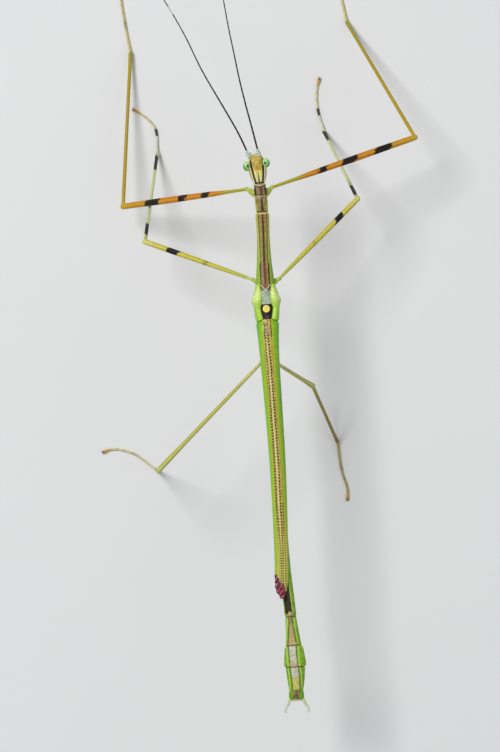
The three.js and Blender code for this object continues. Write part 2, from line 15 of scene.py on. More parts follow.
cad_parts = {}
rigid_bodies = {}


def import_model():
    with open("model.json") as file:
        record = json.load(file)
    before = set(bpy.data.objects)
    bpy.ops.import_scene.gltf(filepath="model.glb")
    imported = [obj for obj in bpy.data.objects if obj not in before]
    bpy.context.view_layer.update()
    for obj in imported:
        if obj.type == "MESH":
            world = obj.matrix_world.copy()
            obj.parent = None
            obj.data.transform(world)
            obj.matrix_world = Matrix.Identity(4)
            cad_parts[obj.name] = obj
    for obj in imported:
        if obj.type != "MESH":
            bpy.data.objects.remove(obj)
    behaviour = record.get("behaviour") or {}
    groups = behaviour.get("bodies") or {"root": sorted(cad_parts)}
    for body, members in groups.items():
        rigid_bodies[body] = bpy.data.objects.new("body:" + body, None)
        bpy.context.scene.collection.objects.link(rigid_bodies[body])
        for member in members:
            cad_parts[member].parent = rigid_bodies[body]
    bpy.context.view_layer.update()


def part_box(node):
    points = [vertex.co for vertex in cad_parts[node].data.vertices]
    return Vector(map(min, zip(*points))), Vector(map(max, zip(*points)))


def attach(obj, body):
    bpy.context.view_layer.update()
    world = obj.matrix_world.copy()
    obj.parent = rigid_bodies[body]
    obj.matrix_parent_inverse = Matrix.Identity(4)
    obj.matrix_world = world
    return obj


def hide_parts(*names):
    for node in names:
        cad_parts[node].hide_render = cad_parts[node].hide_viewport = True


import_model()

UP = np.array([0.0, 0.0, 1.0])
TURN_ROUND = 2 * np.pi

# ---- the animal's lines and sizes

SPINE_POINTS = [
    (0.6, 24.65, 17.0), (1.06, 21.35, 16.95), (1.37, 17.89, 16.85), (1.59, 12.44, 16.8),
    (1.94, 6.22, 16.8), (2.56, -2.67, 16.75), (3.11, -10.44, 16.65), (3.78, -20.44, 16.5),
    (4.53, -26.78, 16.4), (5.04, -32.33, 16.35), (5.19, -36.11, 16.35),
]

# [distance behind the front of the head, half-width, height above, depth below the spine]
BODY_ROWS = [
    (0.0, 0.5, 0.16, 0.42), (0.12, 0.62, 0.28, 0.56), (0.5, 0.8, 0.44, 0.7),
    (0.95, 0.92, 0.57, 0.78), (1.45, 1.0, 0.65, 0.8), (2.0, 0.98, 0.67, 0.78),
    (2.5, 0.87, 0.64, 0.72), (2.95, 0.73, 0.57, 0.62), (3.24, 0.6, 0.48, 0.5),
    (3.36, 0.62, 0.5, 0.54), (3.55, 0.66, 0.56, 0.6), (4.4, 0.67, 0.6, 0.64),
    (4.72, 0.62, 0.54, 0.64), (5.05, 0.68, 0.6, 0.64), (6.2, 0.68, 0.6, 0.62),
    (6.42, 0.63, 0.53, 0.56), (6.75, 0.74, 0.61, 0.66), (8.0, 0.69, 0.6, 0.66),
    (9.2, 0.66, 0.6, 0.66), (10.8, 0.72, 0.62, 0.7), (12.2, 0.8, 0.66, 0.74),
    (13.5, 0.93, 0.72, 0.8), (14.5, 1.0, 0.76, 0.84), (14.86, 0.95, 0.7, 0.78),
    (15.3, 0.95, 0.75, 0.84), (17.0, 0.94, 0.79, 0.84), (18.6, 0.84, 0.75, 0.82),
    (20.5, 0.77, 0.7, 0.8), (22.6, 0.82, 0.7, 0.84), (23.8, 0.75, 0.66, 0.76),
    (24.3, 0.6, 0.56, 0.6), (24.7, 0.61, 0.57, 0.61), (51.3, 0.63, 0.58, 0.61),
    (51.63, 0.58, 0.52, 0.54), (52.0, 0.61, 0.56, 0.6), (53.4, 0.71, 0.61, 0.67),
    (54.5, 0.83, 0.67, 0.75), (54.78, 0.84, 0.64, 0.72), (55.1, 1.02, 0.73, 0.83),
    (56.2, 1.15, 0.79, 0.9), (57.0, 1.23, 0.8, 0.93), (57.2, 1.05, 0.72, 0.88),
    (57.5, 1.04, 0.73, 0.92), (58.6, 0.94, 0.65, 0.88), (59.6, 0.79, 0.55, 0.65),
    (59.8, 0.75, 0.48, 0.46), (60.1, 0.84, 0.49, 0.43), (60.65, 0.86, 0.43, 0.4),
    (61.0, 0.66, 0.3, 0.3),
]
BODY_START, BODY_END, BODY_TIP = 0.02, 60.98, 61.05
BODY_STEP = 0.05
FINE_STEP, FINE_END = 0.036, 19.0  # rings closer together where the markings are
BODY_SIDES, BODY_CROWD = 120, 0.42  # and so are their points on the back
ROUND_TIP = 0.3  # how far the nose and the tail are rounded
PLAIN_JOINTS = (24.3, 29.75, 35.35, 41.0, 46.65, 51.55)
# [place, depth of the groove, its half-length] at the joints of the body
GROOVES = [(3.28, 0.12, 0.09), (4.7, 0.05, 0.1), (6.46, 0.1, 0.07), (14.86, 0.05, 0.06)]
GROOVES += [(at, 0.1, 0.08) for at in PLAIN_JOINTS]
GROOVES += [(54.78, 0.08, 0.07), (57.2, 0.07, 0.06), (59.8, 0.07, 0.06)]

EYE = {"back": 1.16, "out": 1.08, "up": 0.2, "size": (0.43, 0.54, 0.46)}
EYE_NUDGE = {"left": (-0.06, -0.05, 0.0), "right": (-0.06, 0.04, 0.0)}  # from the solid's place
MOUTH_ROWS = [(-0.1, 0.24, 0.24), (0.15, 0.38, 0.38), (0.7, 0.42, 0.44), (1.12, 0.3, 0.32)]
MOUTH_DROP = 0.7
MOUTH_RINGS, MOUTH_SIDES, MOUTH_SQUARENESS = 44, 48, 2.3

FEELERS = {
    "left": [
        (-0.16, 24.5, 17.2), (-0.55, 25.4, 17.5), (-1.42, 27.15, 18.2), (-2.79, 29.5, 19.0),
        (-5.38, 33.9, 20.0), (-7.2, 37.6, 20.5), (-9.36, 41.3, 20.6), (-12.1, 45.3, 20.4),
        (-14.9, 49.3, 20.0), (-19.0, 54.9, 19.2), (-23.2, 60.3, 18.2),
    ],
    "right": [
        (0.98, 24.6, 17.2), (0.74, 25.5, 17.5), (0.12, 27.85, 18.2), (-0.55, 30.3, 19.0),
        (-1.22, 33.0, 20.0), (-1.78, 35.65, 20.5), (-2.33, 38.25, 20.6), (-3.1, 42.4, 20.5),
        (-4.2, 48.0, 20.1), (-5.8, 54.6, 19.3), (-7.7, 61.6, 18.0),
    ],
}
FEELER_BASE = 0.62  # the length of its two pale joints
PALE_RINGS = {"left": (18.5, 26.0, 33.5), "right": (19.6, 27.0, 34.0)}

# [distance, thickness, lowest and highest angle round the metathorax]
TEGMEN_ROWS = [
    (14.5, 0.05, 4, 46), (14.75, 0.13, 0, 50), (15.0, 0.24, -3, 55), (15.4, 0.34, -6, 60),
    (15.95, 0.45, -12, 61), (16.3, 0.54, -14, 61), (16.6, 0.49, -14, 59), (17.15, 0.45, -14, 46),
    (17.8, 0.44, -10, 52), (18.6, 0.44, 0, 62),
]

WING_POINTS = [
    (1.94, 6.05, 16.8), (2.13, 2.89, 16.8), (2.56, -2.67, 16.75), (3.11, -10.44, 16.65),
    (3.5, -20.44, 16.5), (3.52, -23.6, 16.44), (3.72, -24.7, 16.42),
]
# [distance along the wing, half-width, lower edge, height of the crown above the spine]
WING_ROWS = [
    (-0.26, 1.1, -0.02, 0.92), (0.0, 1.17, -0.02, 0.96), (0.2, 1.24, -0.02, 1.06),
    (0.4, 1.27, -0.02, 1.16), (0.8, 1.24, -0.02, 1.26), (1.5, 1.19, 0.0, 1.34),
    (3.2, 1.11, 0.1, 1.32), (5.2, 1.05, 0.12, 1.28), (8.8, 0.99, 0.05, 1.2),
    (16.6, 0.89, 0.14, 1.18), (22.0, 0.82, 0.28, 1.16), (26.8, 0.77, 0.46, 1.16),
    (28.9, 0.75, 0.66, 1.14), (30.1, 0.55, 0.74, 1.1), (30.75, 0.24, 0.8, 1.0),
]

CERCUS_ROUTE = [
    (0.72, 60.75, 0.0), (0.98, 61.35, -0.02), (1.24, 61.75, -0.04), (1.3, 62.1, -0.06),
    (1.15, 62.28, -0.08),
]
CERCUS_ROOT, CERCUS_RINGS, CERCUS_SIDES = -0.25, 40, 20

HIP_HEIGHT = 16.3
ANKLE_HEIGHT, ANKLE_DROP = 0.62, 0.14  # of the joint, and how far the skin's own lies below it
BALL = {"hip": 0.3, "knee": 0.32, "ankle": 0.22}
LIMB_STEP, LIMB_SIDES, KEELS = 0.06, 24, 5
COXA_RINGS, COXA_SIDES = 40, 28
COXA_ROOT = {"out": 0.35, "below": 0.35, "behind": {"front": 0.8, "mid": 0.6, "hind": 0.0}}
# [share of the way along a joint, radius]
COXA_ROWS = [
    (0, 0.4), (0.4, 0.38), (0.7, 0.3), (0.88, 0.2), (1.0, 0.24), (1.1, 0.22), (1.18, 0.16),
    (1.25, 0.06),
]
# The tarsus has three stretches, which turn one after another.
LEGS = {
    "front": {
        "femur": 18.2, "tibia": 18.2, "tarsus": (3.9, 2.3, 1.2),
        "femur_rows": [(0, 0.17), (0.14, 0.19), (0.28, 0.3), (0.6, 0.37), (0.9, 0.34)],
        "tibia_rows": [(0, 0.19), (0.05, 0.21), (0.5, 0.19), (0.9, 0.19), (0.98, 0.23)],
    },
    "mid": {
        "femur": 13.8, "tibia": 14.4, "tarsus": (2.9, 2.4, 1.2),
        "femur_rows": [(0, 0.18), (0.1, 0.2), (0.3, 0.26), (0.6, 0.3), (0.92, 0.32)],
        "tibia_rows": [(0, 0.18), (0.05, 0.2), (0.5, 0.18), (0.9, 0.18), (0.98, 0.22)],
    },
    "hind": {
        "femur": 16.5, "tibia": 16.34, "tarsus": (3.5, 2.4, 1.2),
        "femur_rows": [(0, 0.18), (0.1, 0.2), (0.4, 0.21), (0.75, 0.23), (0.94, 0.3)],
        "tibia_rows": [(0, 0.18), (0.05, 0.2), (0.5, 0.18), (0.9, 0.18), (0.98, 0.22)],
    },
}
# The hip on the floor plan, the knee's height, and the headings of femur, tibia and tarsus,
# in degrees from straight ahead. Lengths here stand for the pair's own.
STANCES = {
    "front_left": {"hip": (-0.3, 20.78), "knee": 5.2, "turns": (-96.4, 2.4, -10.4, -9, -5),
                   "femur": 18.0, "tibia": 18.25},
    "front_right": {"hip": (2.42, 20.98), "knee": 10.2, "turns": (70.1, -28.9, -12.5, -13, -9)},
    "mid_left": {"hip": (0.38, 10.7), "knee": 10.8, "turns": (-70.2, 6.6, -5.8, -46, -61.7),
                 "femur": 14.05, "tibia": 14.6},
    "mid_right": {"hip": (3.22, 10.8), "knee": 11.55, "turns": (44.3, -24.2, -14.8, 0, 15),
                  "femur": 13.52, "tibia": 14.05},
    "hind_left": {"hip": (1.22, 1.47), "knee": 16.95, "turns": (-136.4, -111, -56.6, -82, -110.8)},
    "hind_right": {"hip": (3.0, 1.4), "knee": 7.63, "turns": (121.7, 155.5, 171, 164, 183),
                   "femur": 9.9, "tibia": 9.9},
}

# ---- colours


def linear(red, green, blue):
    """A display colour, 0 to 255, as the light it stands for."""
    c = np.array([red, green, blue], float) / 255
    return np.where(c <= 0.04045, c / 12.92, ((c + 0.055) / 1.055) ** 2.4)


LEAF = (118, 196, 38)
PALE_LIME = (214, 228, 128)
BLACK = (22, 14, 10)
ORANGE = (210, 136, 22)
LEG_GREEN = (176, 170, 44)
LEG_YELLOW = (198, 172, 40)
PALE_GREEN = (210, 216, 160)
OLIVE = (165, 160, 58)
DARK_OLIVE = linear(*OLIVE) * 0.4

# ---- number helpers


def ramp(low, high, x):
    """0 below low, 1 above high, smooth between."""
    t = np.clip((x - low) / (high - low), 0, 1)
    return t * t * (3 - 2 * t)


def bump(x, centre, half):
    """1 at the centre, and 0.37 of it at the distance half."""
    return np.exp(-(((x - centre) / half) ** 2))


def between(low, high, x, soft):
    """1 from low to high and 0 beyond, with soft ends."""
    return ramp(low - soft, low + soft, x) * (1 - ramp(high - soft, high + soft, x))


def wave(x, period):
    """0 to 1 and back in each period, highest at 0."""
    return 0.5 + 0.5 * np.cos(TURN_ROUND * x / period)


def dome(x):
    """The square of the height of a round end: 1 at 0, falling to 0 at 1."""
    return 1 - np.clip(x, 0, 1) ** 2


def mix(a, b, share):
    """Colour a where the share is 0, and b where it is 1."""
    share = np.asarray(share, float)[..., None]
    return a * (1 - share) + b * share


def blend(first, second, share):
    """One display colour passing into another."""
    return mix(linear(*first), linear(*second), share)


def lattice(cells, seed):
    """A repeatable random value, 0 to 1, for each cell of a grid."""
    h = cells[..., 0] * 374761393 + cells[..., 1] * 668265263 + cells[..., 2] * 2147483647
    h = (h + seed * 1274126177) & 0xFFFFFFFF
    h = ((h ^ (h >> 13)) * 1103515245) & 0xFFFFFFFF
    return ((h ^ (h >> 16)) & 0xFFFF) / 65535.0


def one_noise(p, seed):
    """The cells' values, blended smoothly from one cell to the next."""
    base = np.floor(p).astype(np.int64)
    f = p - base
    f = f * f * (3 - 2 * f)
    total = 0
    for corner in np.ndindex(2, 2, 2):
        weight = np.prod(np.where(np.array(corner) == 1, f, 1 - f), axis=-1)
        total = total + weight * lattice(base + np.array(corner), seed)
    return total


TILT = np.array([[0.36, 0.48, -0.8], [-0.8, 0.6, 0.0], [0.48, 0.64, 0.6]])


def noise(points, size, seed):
    """Smooth noise from 0 to 1, with blobs of about that size, in two layers turned apart."""
    p = np.asarray(points, float) @ TILT / size
    layers = 0.62 * one_noise(p, seed) + 0.38 * one_noise(p @ TILT * 1.9 + 7.3, seed + 500)
    return np.clip(0.5 + 1.25 * (layers - 0.5), 0, 1)


def flecks(points, size, seed, low, high):
    """Soft spots of about that size, from 0 where the noise is low to 1 where it is high."""
    return ramp(low, high, noise(points, size, seed))


def rows_at(rows, at):
    """The columns of a table at some places along its first column."""
    table = np.array(rows, float)
    return [np.interp(at, table[:, 0], table[:, k]) for k in range(1, table.shape[1])]


def softened(values, cells):
    """A row of values with its corners rounded over a few cells, and its ends kept."""
    kernel = np.exp(-(np.linspace(-2, 2, 4 * cells + 1) ** 2))
    kernel /= kernel.sum()
    padded = np.pad(values, 2 * cells, mode="reflect", reflect_type="odd")
    return np.convolve(padded, kernel, mode="valid")


# ---- lines

LINE_STEPS = 60  # from each point to the next


class Line:
    """A smooth line through points (a Catmull-Rom curve), read by the distance along it."""

    def __init__(self, points, power=0.25):
        p = np.array(points, float)
        ends = np.vstack([2 * p[0] - p[1], p, 2 * p[-1] - p[-2]])
        t = np.linspace(0, 1, LINE_STEPS, endpoint=False)[:, None]
        pieces = []
        for i in range(len(p) - 1):
            a, b, c, d = ends[i : i + 4]
            da, db, dc = (np.sum((y - x) ** 2) ** power for x, y in ((a, b), (b, c), (c, d)))
            m1 = ((b - a) / da - (c - a) / (da + db) + (c - b) / db) * db
            m2 = ((c - b) / db - (d - b) / (db + dc) + (d - c) / dc) * db
            cubic = 2 * (b - c) + m1 + m2
            square = 3 * (c - b) - 2 * m1 - m2
            pieces.append(b + m1 * t + square * t**2 + cubic * t**3)
        self.points = np.vstack([*pieces, p[-1:]])
        gaps = np.linalg.norm(np.diff(self.points, axis=0), axis=1)
        self.at = np.r_[0, np.cumsum(gaps)]
        self.length = self.at[-1]

    def inside(self, s):
        return np.stack([np.interp(s, self.at, self.points[:, k]) for k in range(3)], -1)

    def ahead(self, s):
        low = np.clip(s - 0.02, 0, self.length)
        high = np.clip(s + 0.02, 0, self.length)
        way = self.inside(high) - self.inside(low)
        return way / np.linalg.norm(way, axis=-1, keepdims=True)

    def frame(self, s):
        """Centre, right-hand direction and upward direction, for a line that runs backwards."""
        s = np.asarray(s, float)
        kept = np.clip(s, 0, self.length)
        back = self.ahead(kept)
        centre = self.inside(kept) + back * (s - kept)[..., None]
        across = np.cross(UP, back)
        across /= np.linalg.norm(across, axis=-1, keepdims=True)
        return centre, across, np.cross(back, across)


SPINE = Line(SPINE_POINTS)
WING_LINE = Line(WING_POINTS)


def on_body(out, distance, height):
    """The place so far out to the right, behind the front of the head, and above the spine."""
    centre, across, up = SPINE.frame(distance)
    return centre + across * np.asarray(out)[..., None] + up * np.asarray(height)[..., None]


# The model's frame is the animal's frame moved along the floor.
eye_low, eye_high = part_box("eye_left")
SHIFT = np.array((eye_low + eye_high) / 2) * 1000 - on_body(-EYE["out"], EYE["back"], EYE["up"])
SHIFT[2] = 0


def metres(points):
    return (np.asarray(points) + SHIFT) * 0.001


# ---- meshes


class Part:
    """A closed tube of skin with the place of each vertex along and round it."""

    def __init__(self, name, rings, along, crowd=0.0):
        rings = np.asarray(rings)
        count, sides = rings.shape[:2]
        self.name = name
        angle = ring_angles(sides, crowd)
        ends = [rings[0].mean(0), rings[-1].mean(0)]
        self.points = np.vstack([rings.reshape(-1, 3), ends])
        self.along = np.r_[np.repeat(along, sides), along[0], along[-1]]
        self.around = np.r_[np.tile(angle, count), 0, 0]
        i = np.arange(sides)
        j = (i + 1) % sides
        faces = []
        for r in range(count - 1):
            a, b = r * sides + i, r * sides + j
            faces.append(np.stack([a, b, b + sides, a + sides], 1))
        self.quads = np.vstack(faces)
        first, last = count * sides, count * sides + 1
        end = (count - 1) * sides
        self.tips = np.vstack([
            np.stack([np.full(sides, first), j, i], 1),
            np.stack([np.full(sides, last), end + i, end + j], 1),
        ])
        if self.volume() < 0:
            self.quads = self.quads[:, ::-1]
            self.tips = self.tips[:, ::-1]

    def volume(self):
        a, b, c, d = (self.points[self.quads[:, k]] for k in range(4))
        total = np.sum(a * np.cross(b, c)) + np.sum(a * np.cross(c, d))
        a, b, c = (self.points[self.tips[:, k]] for k in range(3))
        return total + np.sum(a * np.cross(b, c))

    def mesh(self):
        made = bpy.data.meshes.new(self.name)
        faces = self.quads.tolist() + self.tips.tolist()
        made.from_pydata(metres(self.points).tolist(), [], faces)
        return made


def new_object(name, data):
    piece = bpy.data.objects.new(name, data)
    bpy.context.scene.collection.objects.link(piece)
    return piece


def shade(mesh, tint, grain):
    """Smooth shading, with a colour and a roughness of relief for each vertex."""
    mesh.polygons.foreach_set("use_smooth", np.ones(len(mesh.polygons), bool))
    colours = np.c_[np.clip(tint, 0, 1), np.ones(len(tint))].astype(np.float32)
    layer = mesh.attributes.new("tint", "FLOAT_COLOR", "POINT")
    layer.data.foreach_set("color", colours.ravel())
    layer = mesh.attributes.new("grain", "FLOAT", "POINT")
    layer.data.foreach_set("value", np.asarray(grain, np.float32))
    mesh.update()


def add_piece(name, mesh, tint, grain, look, slot_name, *replaced):
    """A visible piece with its paint and its material, in place of the solids it names."""
    shade(mesh, tint, np.full(len(tint), grain))
    mesh.materials.append(look)
    piece = new_object(name, mesh)
    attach(piece, "root")
    if replaced:
        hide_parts(*replaced)


def add_pair(add_one):
    """The left and the right one of two pieces."""
    for side_name, side in (("left", -1), ("right", 1)):
        add_one(side_name, side)


def ring_angles(sides, crowd=0.0):
    """Angles round a ring, closer together along its top when crowd is over 0."""
    angle = np.linspace(0, TURN_ROUND, sides, endpoint=False)
    return angle + crowd * np.cos(angle)


def ring(centre, across, up, width, above, below, sides, power=2.0, ridges=None, crowd=0.0):
    """Rings of points round a row of centres; power over 2 makes them boxier."""
    angle = ring_angles(sides, crowd)
    c, s = np.cos(angle), np.sin(angle)
    e = np.reshape(2.0 / np.asarray(power, float), (-1, 1))
    width, above, below = (np.asarray(v, float)[:, None] for v in (width, above, below))
    x = width * (np.sign(c) * np.abs(c) ** e)
    z = np.where(s >= 0, above, below) * (np.sign(s) * np.abs(s) ** e)
    if ridges is not None:
        x, z = x * ridges, z * ridges
    return centre[:, None] + across[:, None] * x[..., None] + up[:, None] * z[..., None]


def tube(name, path, width, height, sides, along=None, ridges=None):
    """A closed tube round a path that isn't upright, with an oval outline."""
    path = np.asarray(path, float)
    ahead = np.gradient(path, axis=0)
    ahead /= np.linalg.norm(ahead, axis=1, keepdims=True)
    across = np.cross(ahead, UP)
    across /= np.linalg.norm(across, axis=1, keepdims=True)
    up = np.cross(across, ahead)
    if along is None:
        along = np.r_[0, np.cumsum(np.linalg.norm(np.diff(path, axis=0), axis=1))]
    rings = ring(path, across, up, width, height, height, sides, ridges=ridges)
    return Part(name, rings, np.asarray(along))


# ---- body


def body_sizes(s):
    """Half-width, height above and depth below the spine, with the joints pinched."""
    fine = np.arange(-0.5, 61.6, BODY_STEP)
    columns = [softened(c, 3) for c in rows_at(BODY_ROWS, fine)]
    width, above, below = (np.interp(s, fine, c) for c in columns)
    pinch = np.ones_like(s)
    for at, depth, half in GROOVES:
        pinch -= depth * bump(s, at, half)
        pinch += 0.4 * depth * bump(s, at - 2.2 * half, half)
    nose, tail = (
        np.sqrt(np.clip(dome(1 - inwards / ROUND_TIP), 0.02, 1)) for inwards in (s, BODY_TIP - s)
    )
    scale = pinch * nose * tail
    return width * scale, above * scale, below * scale


# Carved forms on the back: [height, from, to, softness] along the body, and [middle, half-width]
# across it, from -1 at the left side to 1 at the right. Those off the middle are on both sides.
LONG_RELIEF = [
    (-0.05, 1.9, 3.2, 0.2, 0, 0.07), (-0.03, 3.6, 6.2, 0.15, 0, 0.08), (0.03, 6.7, 14.6, 0.3, 0, 0.1),
    (0.02, 51.8, 59.6, 0.3, 0.42, 0.1),
]
# The same along the flanks, above and below alike
FLANK_RELIEF = [
    (0.03, 3.5, 6.3, 0.1, 0.86, 0.12), (0.035, 6.7, 24, 0.3, 0.97, 0.1), (0.03, 24.4, 60, 0.3, 0.96, 0.1),
]
# Lumps of the head on both sides: [height, place, half-length] and [middle, half-width] across
HEAD_LUMPS = [(0.05, 2.45, 0.6, 0.3, 0.2), (-0.06, 1.05, 0.35, 0.78, 0.14), (0.05, 0.5, 0.25, 0.55, 0.2)]
BEADS = {"pitch": 0.34, "from": 6.7, "to": 12.2}


def body_relief(part):
    """How far each place stands out of the plain tube, and how warty it is."""
    u, q = part.along, np.cos(part.around)
    top, low = np.clip(np.sin(part.around), 0, 1), np.clip(-np.sin(part.around), 0, 1)
    lift = 0.09 * bump(u, 0.85, 0.5) * bump(q, 0, 0.5) * top
    for side in (-1, 1):
        lift += 0.05 * bump(u, 2.3, 0.6) * bump(q, side * 0.8, 0.2)
        for height, place, half, middle, wide in HEAD_LUMPS:
            lift += height * bump(u, place, half) * bump(q, side * middle, wide) * top
    for rows, where in ((LONG_RELIEF, top), (FLANK_RELIEF, 1.0)):
        for height, start, end, soft, middle, wide in rows:
            lift += height * between(start, end, u, soft) * bump(np.abs(q), middle, wide) * where
    beads = between(BEADS["from"], BEADS["to"], u, 0.3) * wave(u, BEADS["pitch"])
    lift += 0.02 * beads * bump(q, 0, 0.12) * top
    lift -= 0.03 * between(6.7, 60, u, 0.3) * bump(np.abs(q), 0.62, 0.12) * low
    rough = 0.035 * between(0.5, 3.1, u, 0.2) * top + 0.02 * between(3.5, 15, u, 0.2)
    return lift, rough + 0.06 * between(0.7, 1.8, u, 0.2) * bump(q, 0, 0.6) * top


def body_part():
    s = np.r_[np.arange(BODY_START, FINE_END, FINE_STEP), np.arange(FINE_END, BODY_END, BODY_STEP)]
    s[-1] = BODY_END
    width, above, below = body_sizes(s)
    centre, across, up = SPINE.frame(s)
    box = 2.0 + 0.35 * between(3.4, 24, s, 0.4) + 0.25 * between(51.6, 60, s, 0.4)
    rings = ring(centre, across, up, width, above, below, BODY_SIDES, box, crowd=BODY_CROWD)
    part = Part("body", rings, s, BODY_CROWD)

    lift, rough = body_relief(part)
    away = part.points - SPINE.frame(part.along)[0]
    away /= np.maximum(np.linalg.norm(away, axis=1, keepdims=True), 1e-9)
    warts = noise(part.points, 0.16, 5) - 0.5
    part.points += away * (lift + rough * warts)[:, None]
    return part


def mouth_part():
    start, length = MOUTH_ROWS[0][0], MOUTH_ROWS[-1][0] - MOUTH_ROWS[0][0]
    share = 0.5 - 0.5 * np.cos(np.linspace(0.12, np.pi - 0.12, MOUTH_RINGS))
    s = start + length * share
    blunt = (1 - np.abs(2 * share - 1) ** 6) ** 0.5
    width, height = (softened(c, 2) * blunt for c in rows_at(MOUTH_ROWS, s))
    centre, across, up = SPINE.frame(s)
    centre = centre - up * MOUTH_DROP
    split = 1 - 0.14 * bump(s, 0.2, 0.05) - 0.1 * bump(s, 0.6, 0.06)
    width, height = width * split, height * split
    rings = ring(centre, across, up, width, height, height, MOUTH_SIDES, MOUTH_SQUARENESS)
    return Part("mouth", rings, s)


def cercus_part(side):
    route = Line([on_body(side * o, d, h) for o, d, h in CERCUS_ROUTE])
    s = np.linspace(CERCUS_ROOT, route.length, CERCUS_RINGS)
    path = route.inside(np.clip(s, 0, None))
    path = path + route.ahead(np.zeros(CERCUS_RINGS)) * np.minimum(s, 0)[:, None]
    radius = np.interp(s, [CERCUS_ROOT, 0.2, 1.2, route.length], [0.18, 0.175, 0.155, 0.125])
    radius = radius * np.sqrt(np.clip(dome((s - route.length + 0.1) / 0.105), 0.02, 1))
    return tube("cercus", path, radius, radius, CERCUS_SIDES, along=s)


# ---- legs


def heading(degrees):
    """A level direction, turned that far to the right of straight ahead."""
    a = math.radians(degrees)
    return np.array([math.sin(a), math.cos(a), 0.0])


def reach(start, length, degrees, height):
    """Where a joint of that length ends, for its heading and the height of its end."""
    drop = height - start[2]
    run = math.sqrt(length * length - drop * drop)
    end = start + heading(degrees) * run
    end[2] = height
    return end


def nearest_on_spine(point):
    s = np.arange(0, SPINE.length, 0.02)
    centre, across, _ = SPINE.frame(s)
    gap = (point - centre)[:, :2]
    best = np.argmin(np.linalg.norm(gap, axis=1))
    return s[best], float(gap[best] @ across[best, :2])


def limb_part(name, start, end, rows, ball):
    """A straight joint with five faint keels, closed by a rounded knee at its far end."""
    length = np.linalg.norm(end - start)
    way = (end - start) / length
    knee = length + ball * np.sin(np.linspace(-0.9, 1.45, 14))
    s = np.r_[np.arange(0.0, length - ball, LIMB_STEP), knee]
    share = s / length
    radius = softened(rows_at(rows, share)[0], 6)
    before_ball = s < length - 0.6 * ball
    round_end = ball * np.sqrt(dome(np.abs(s - length) / ball))
    radius = np.where(before_ball, radius, round_end)
    neck = before_ball & (s > length - 1.6 * ball)
    radius = np.where(neck, np.maximum(radius, 0.86 * ball), radius)
    angle = ring_angles(LIMB_SIDES)
    keels = 1 + 0.05 * np.cos(KEELS * (angle - np.pi / 2)) * between(0.06, 0.94, share, 0.04)[:, None]
    return tube(name, start + way * s[:, None], radius, radius, LIMB_SIDES, along=share, ridges=keels)


def leg_points(name):
    """The hip, the knee and the ankle of a leg, and the root of its coxa in the thorax."""
    pair = name.split("_")[0]
    stance, sizes = STANCES[name], LEGS[pair]
    hip = np.array([*stance["hip"], HIP_HEIGHT])
    knee = reach(hip, stance.get("femur", sizes["femur"]), stance["turns"][0], stance["knee"])
    ankle = reach(knee, stance.get("tibia", sizes["tibia"]), stance["turns"][1], ANKLE_HEIGHT)
    distance, out = nearest_on_spine(hip)
    distance += COXA_ROOT["behind"][pair]
    root = on_body(math.copysign(COXA_ROOT["out"], out), distance, -COXA_ROOT["below"])
    return hip, knee, ankle - UP * ANKLE_DROP, root


def coxa_part(name, root, hip):
    share = np.linspace(0, COXA_ROWS[-1][0], COXA_RINGS)
    radius = softened(rows_at(COXA_ROWS, share)[0], 1)
    return tube(name, root + (hip - root) * share[:, None], radius, radius, COXA_SIDES, along=share)


FOOT_ENDS = (0.0, 0.96, 1.36, 1.7, 2.0, 3.0)  # of its five joints, in stretches
FOOT_HEIGHTS = (0.42, 0.17, 0.16, 0.2)  # of the line of the foot, where its stretches begin and end
FOOT = {"radius": 0.13, "sides": 20, "step": 0.04, "claw": 0.32, "floor": 0.004}


def foot_line(ankle, lengths, turns):
    """The line of the foot, and the distances at which its three stretches end."""
    start = BALL["ankle"]
    runs = [start, lengths[0] - start, lengths[1], lengths[2] - FOOT["claw"]]
    points = [ankle]
    for run, turn, height in zip(runs, (turns[0], *turns), FOOT_HEIGHTS):
        end = points[-1] + heading(turn) * run
        end[2] = height
        points.append(end)
    return Line(points, power=0.5), np.cumsum(runs)


def foot_part(name, ankle, lengths, turns):
    """Five joints with a soft pad below each, flat where they rest on the floor."""
    line, marks = foot_line(ankle, lengths, turns)
    ends = np.interp(FOOT_ENDS, range(4), marks)
    s = np.arange(0.0, line.length, FOOT["step"])
    radius = np.full_like(s, FOOT["radius"])
    sole = np.zeros_like(s)
    for end in ends[1:5]:
        radius += 0.035 * bump(s, end - 0.08, 0.11) - 0.05 * bump(s, end + 0.02, 0.05)
        sole += 0.06 * bump(s, end - 0.1, 0.12)
    radius += 0.05 * bump(s, ends[5] - 0.18, 0.22) + 0.02 * bump(s, 0.1, 0.3)
    radius *= np.sqrt(np.clip(dome((s - ends[5] + 0.12) / 0.13), 0.03, 1))
    path, sides = line.inside(s), FOOT["sides"]
    part = tube(name, path, radius, radius, sides, along=s)
    height = part.points[:, 2]
    middle = np.r_[np.repeat(path[:, 2], sides), path[0, 2], path[-1, 2]]
    drop = np.r_[np.repeat(sole, sides), 0, 0]
    under = np.clip((middle - height) / FOOT["radius"], 0, 1)
    part.points[:, 2] = np.maximum(height - drop * under, FOOT["floor"])
    part.marks = ends
    return part


def leg_parts(name):
    hip, knee, ankle, root = leg_points(name)
    sizes = LEGS[name.split("_")[0]]
    return [
        coxa_part(name + "_coxa", root, hip),
        limb_part(name + "_femur", hip, knee, sizes["femur_rows"], BALL["knee"]),
        limb_part(name + "_tibia", knee, ankle, sizes["tibia_rows"], BALL["ankle"]),
        foot_part(name + "_tarsus", ankle, sizes["tarsus"], STANCES[name]["turns"][2:]),
    ]


# ---- markings of the skin

# Each paint function gets, for every vertex: s, the distance behind the front of the head; out,
# how far it lies to the right of the midline; rise, from -1 below to 1 on the back; its point.


def coats(base, layers, where=1.0):
    """Colours laid over a base in turn: each layer is a colour and its share."""
    for colour, share in layers:
        colour = linear(*colour) if isinstance(colour, tuple) else colour
        base = mix(base, colour, share * where)
    return base


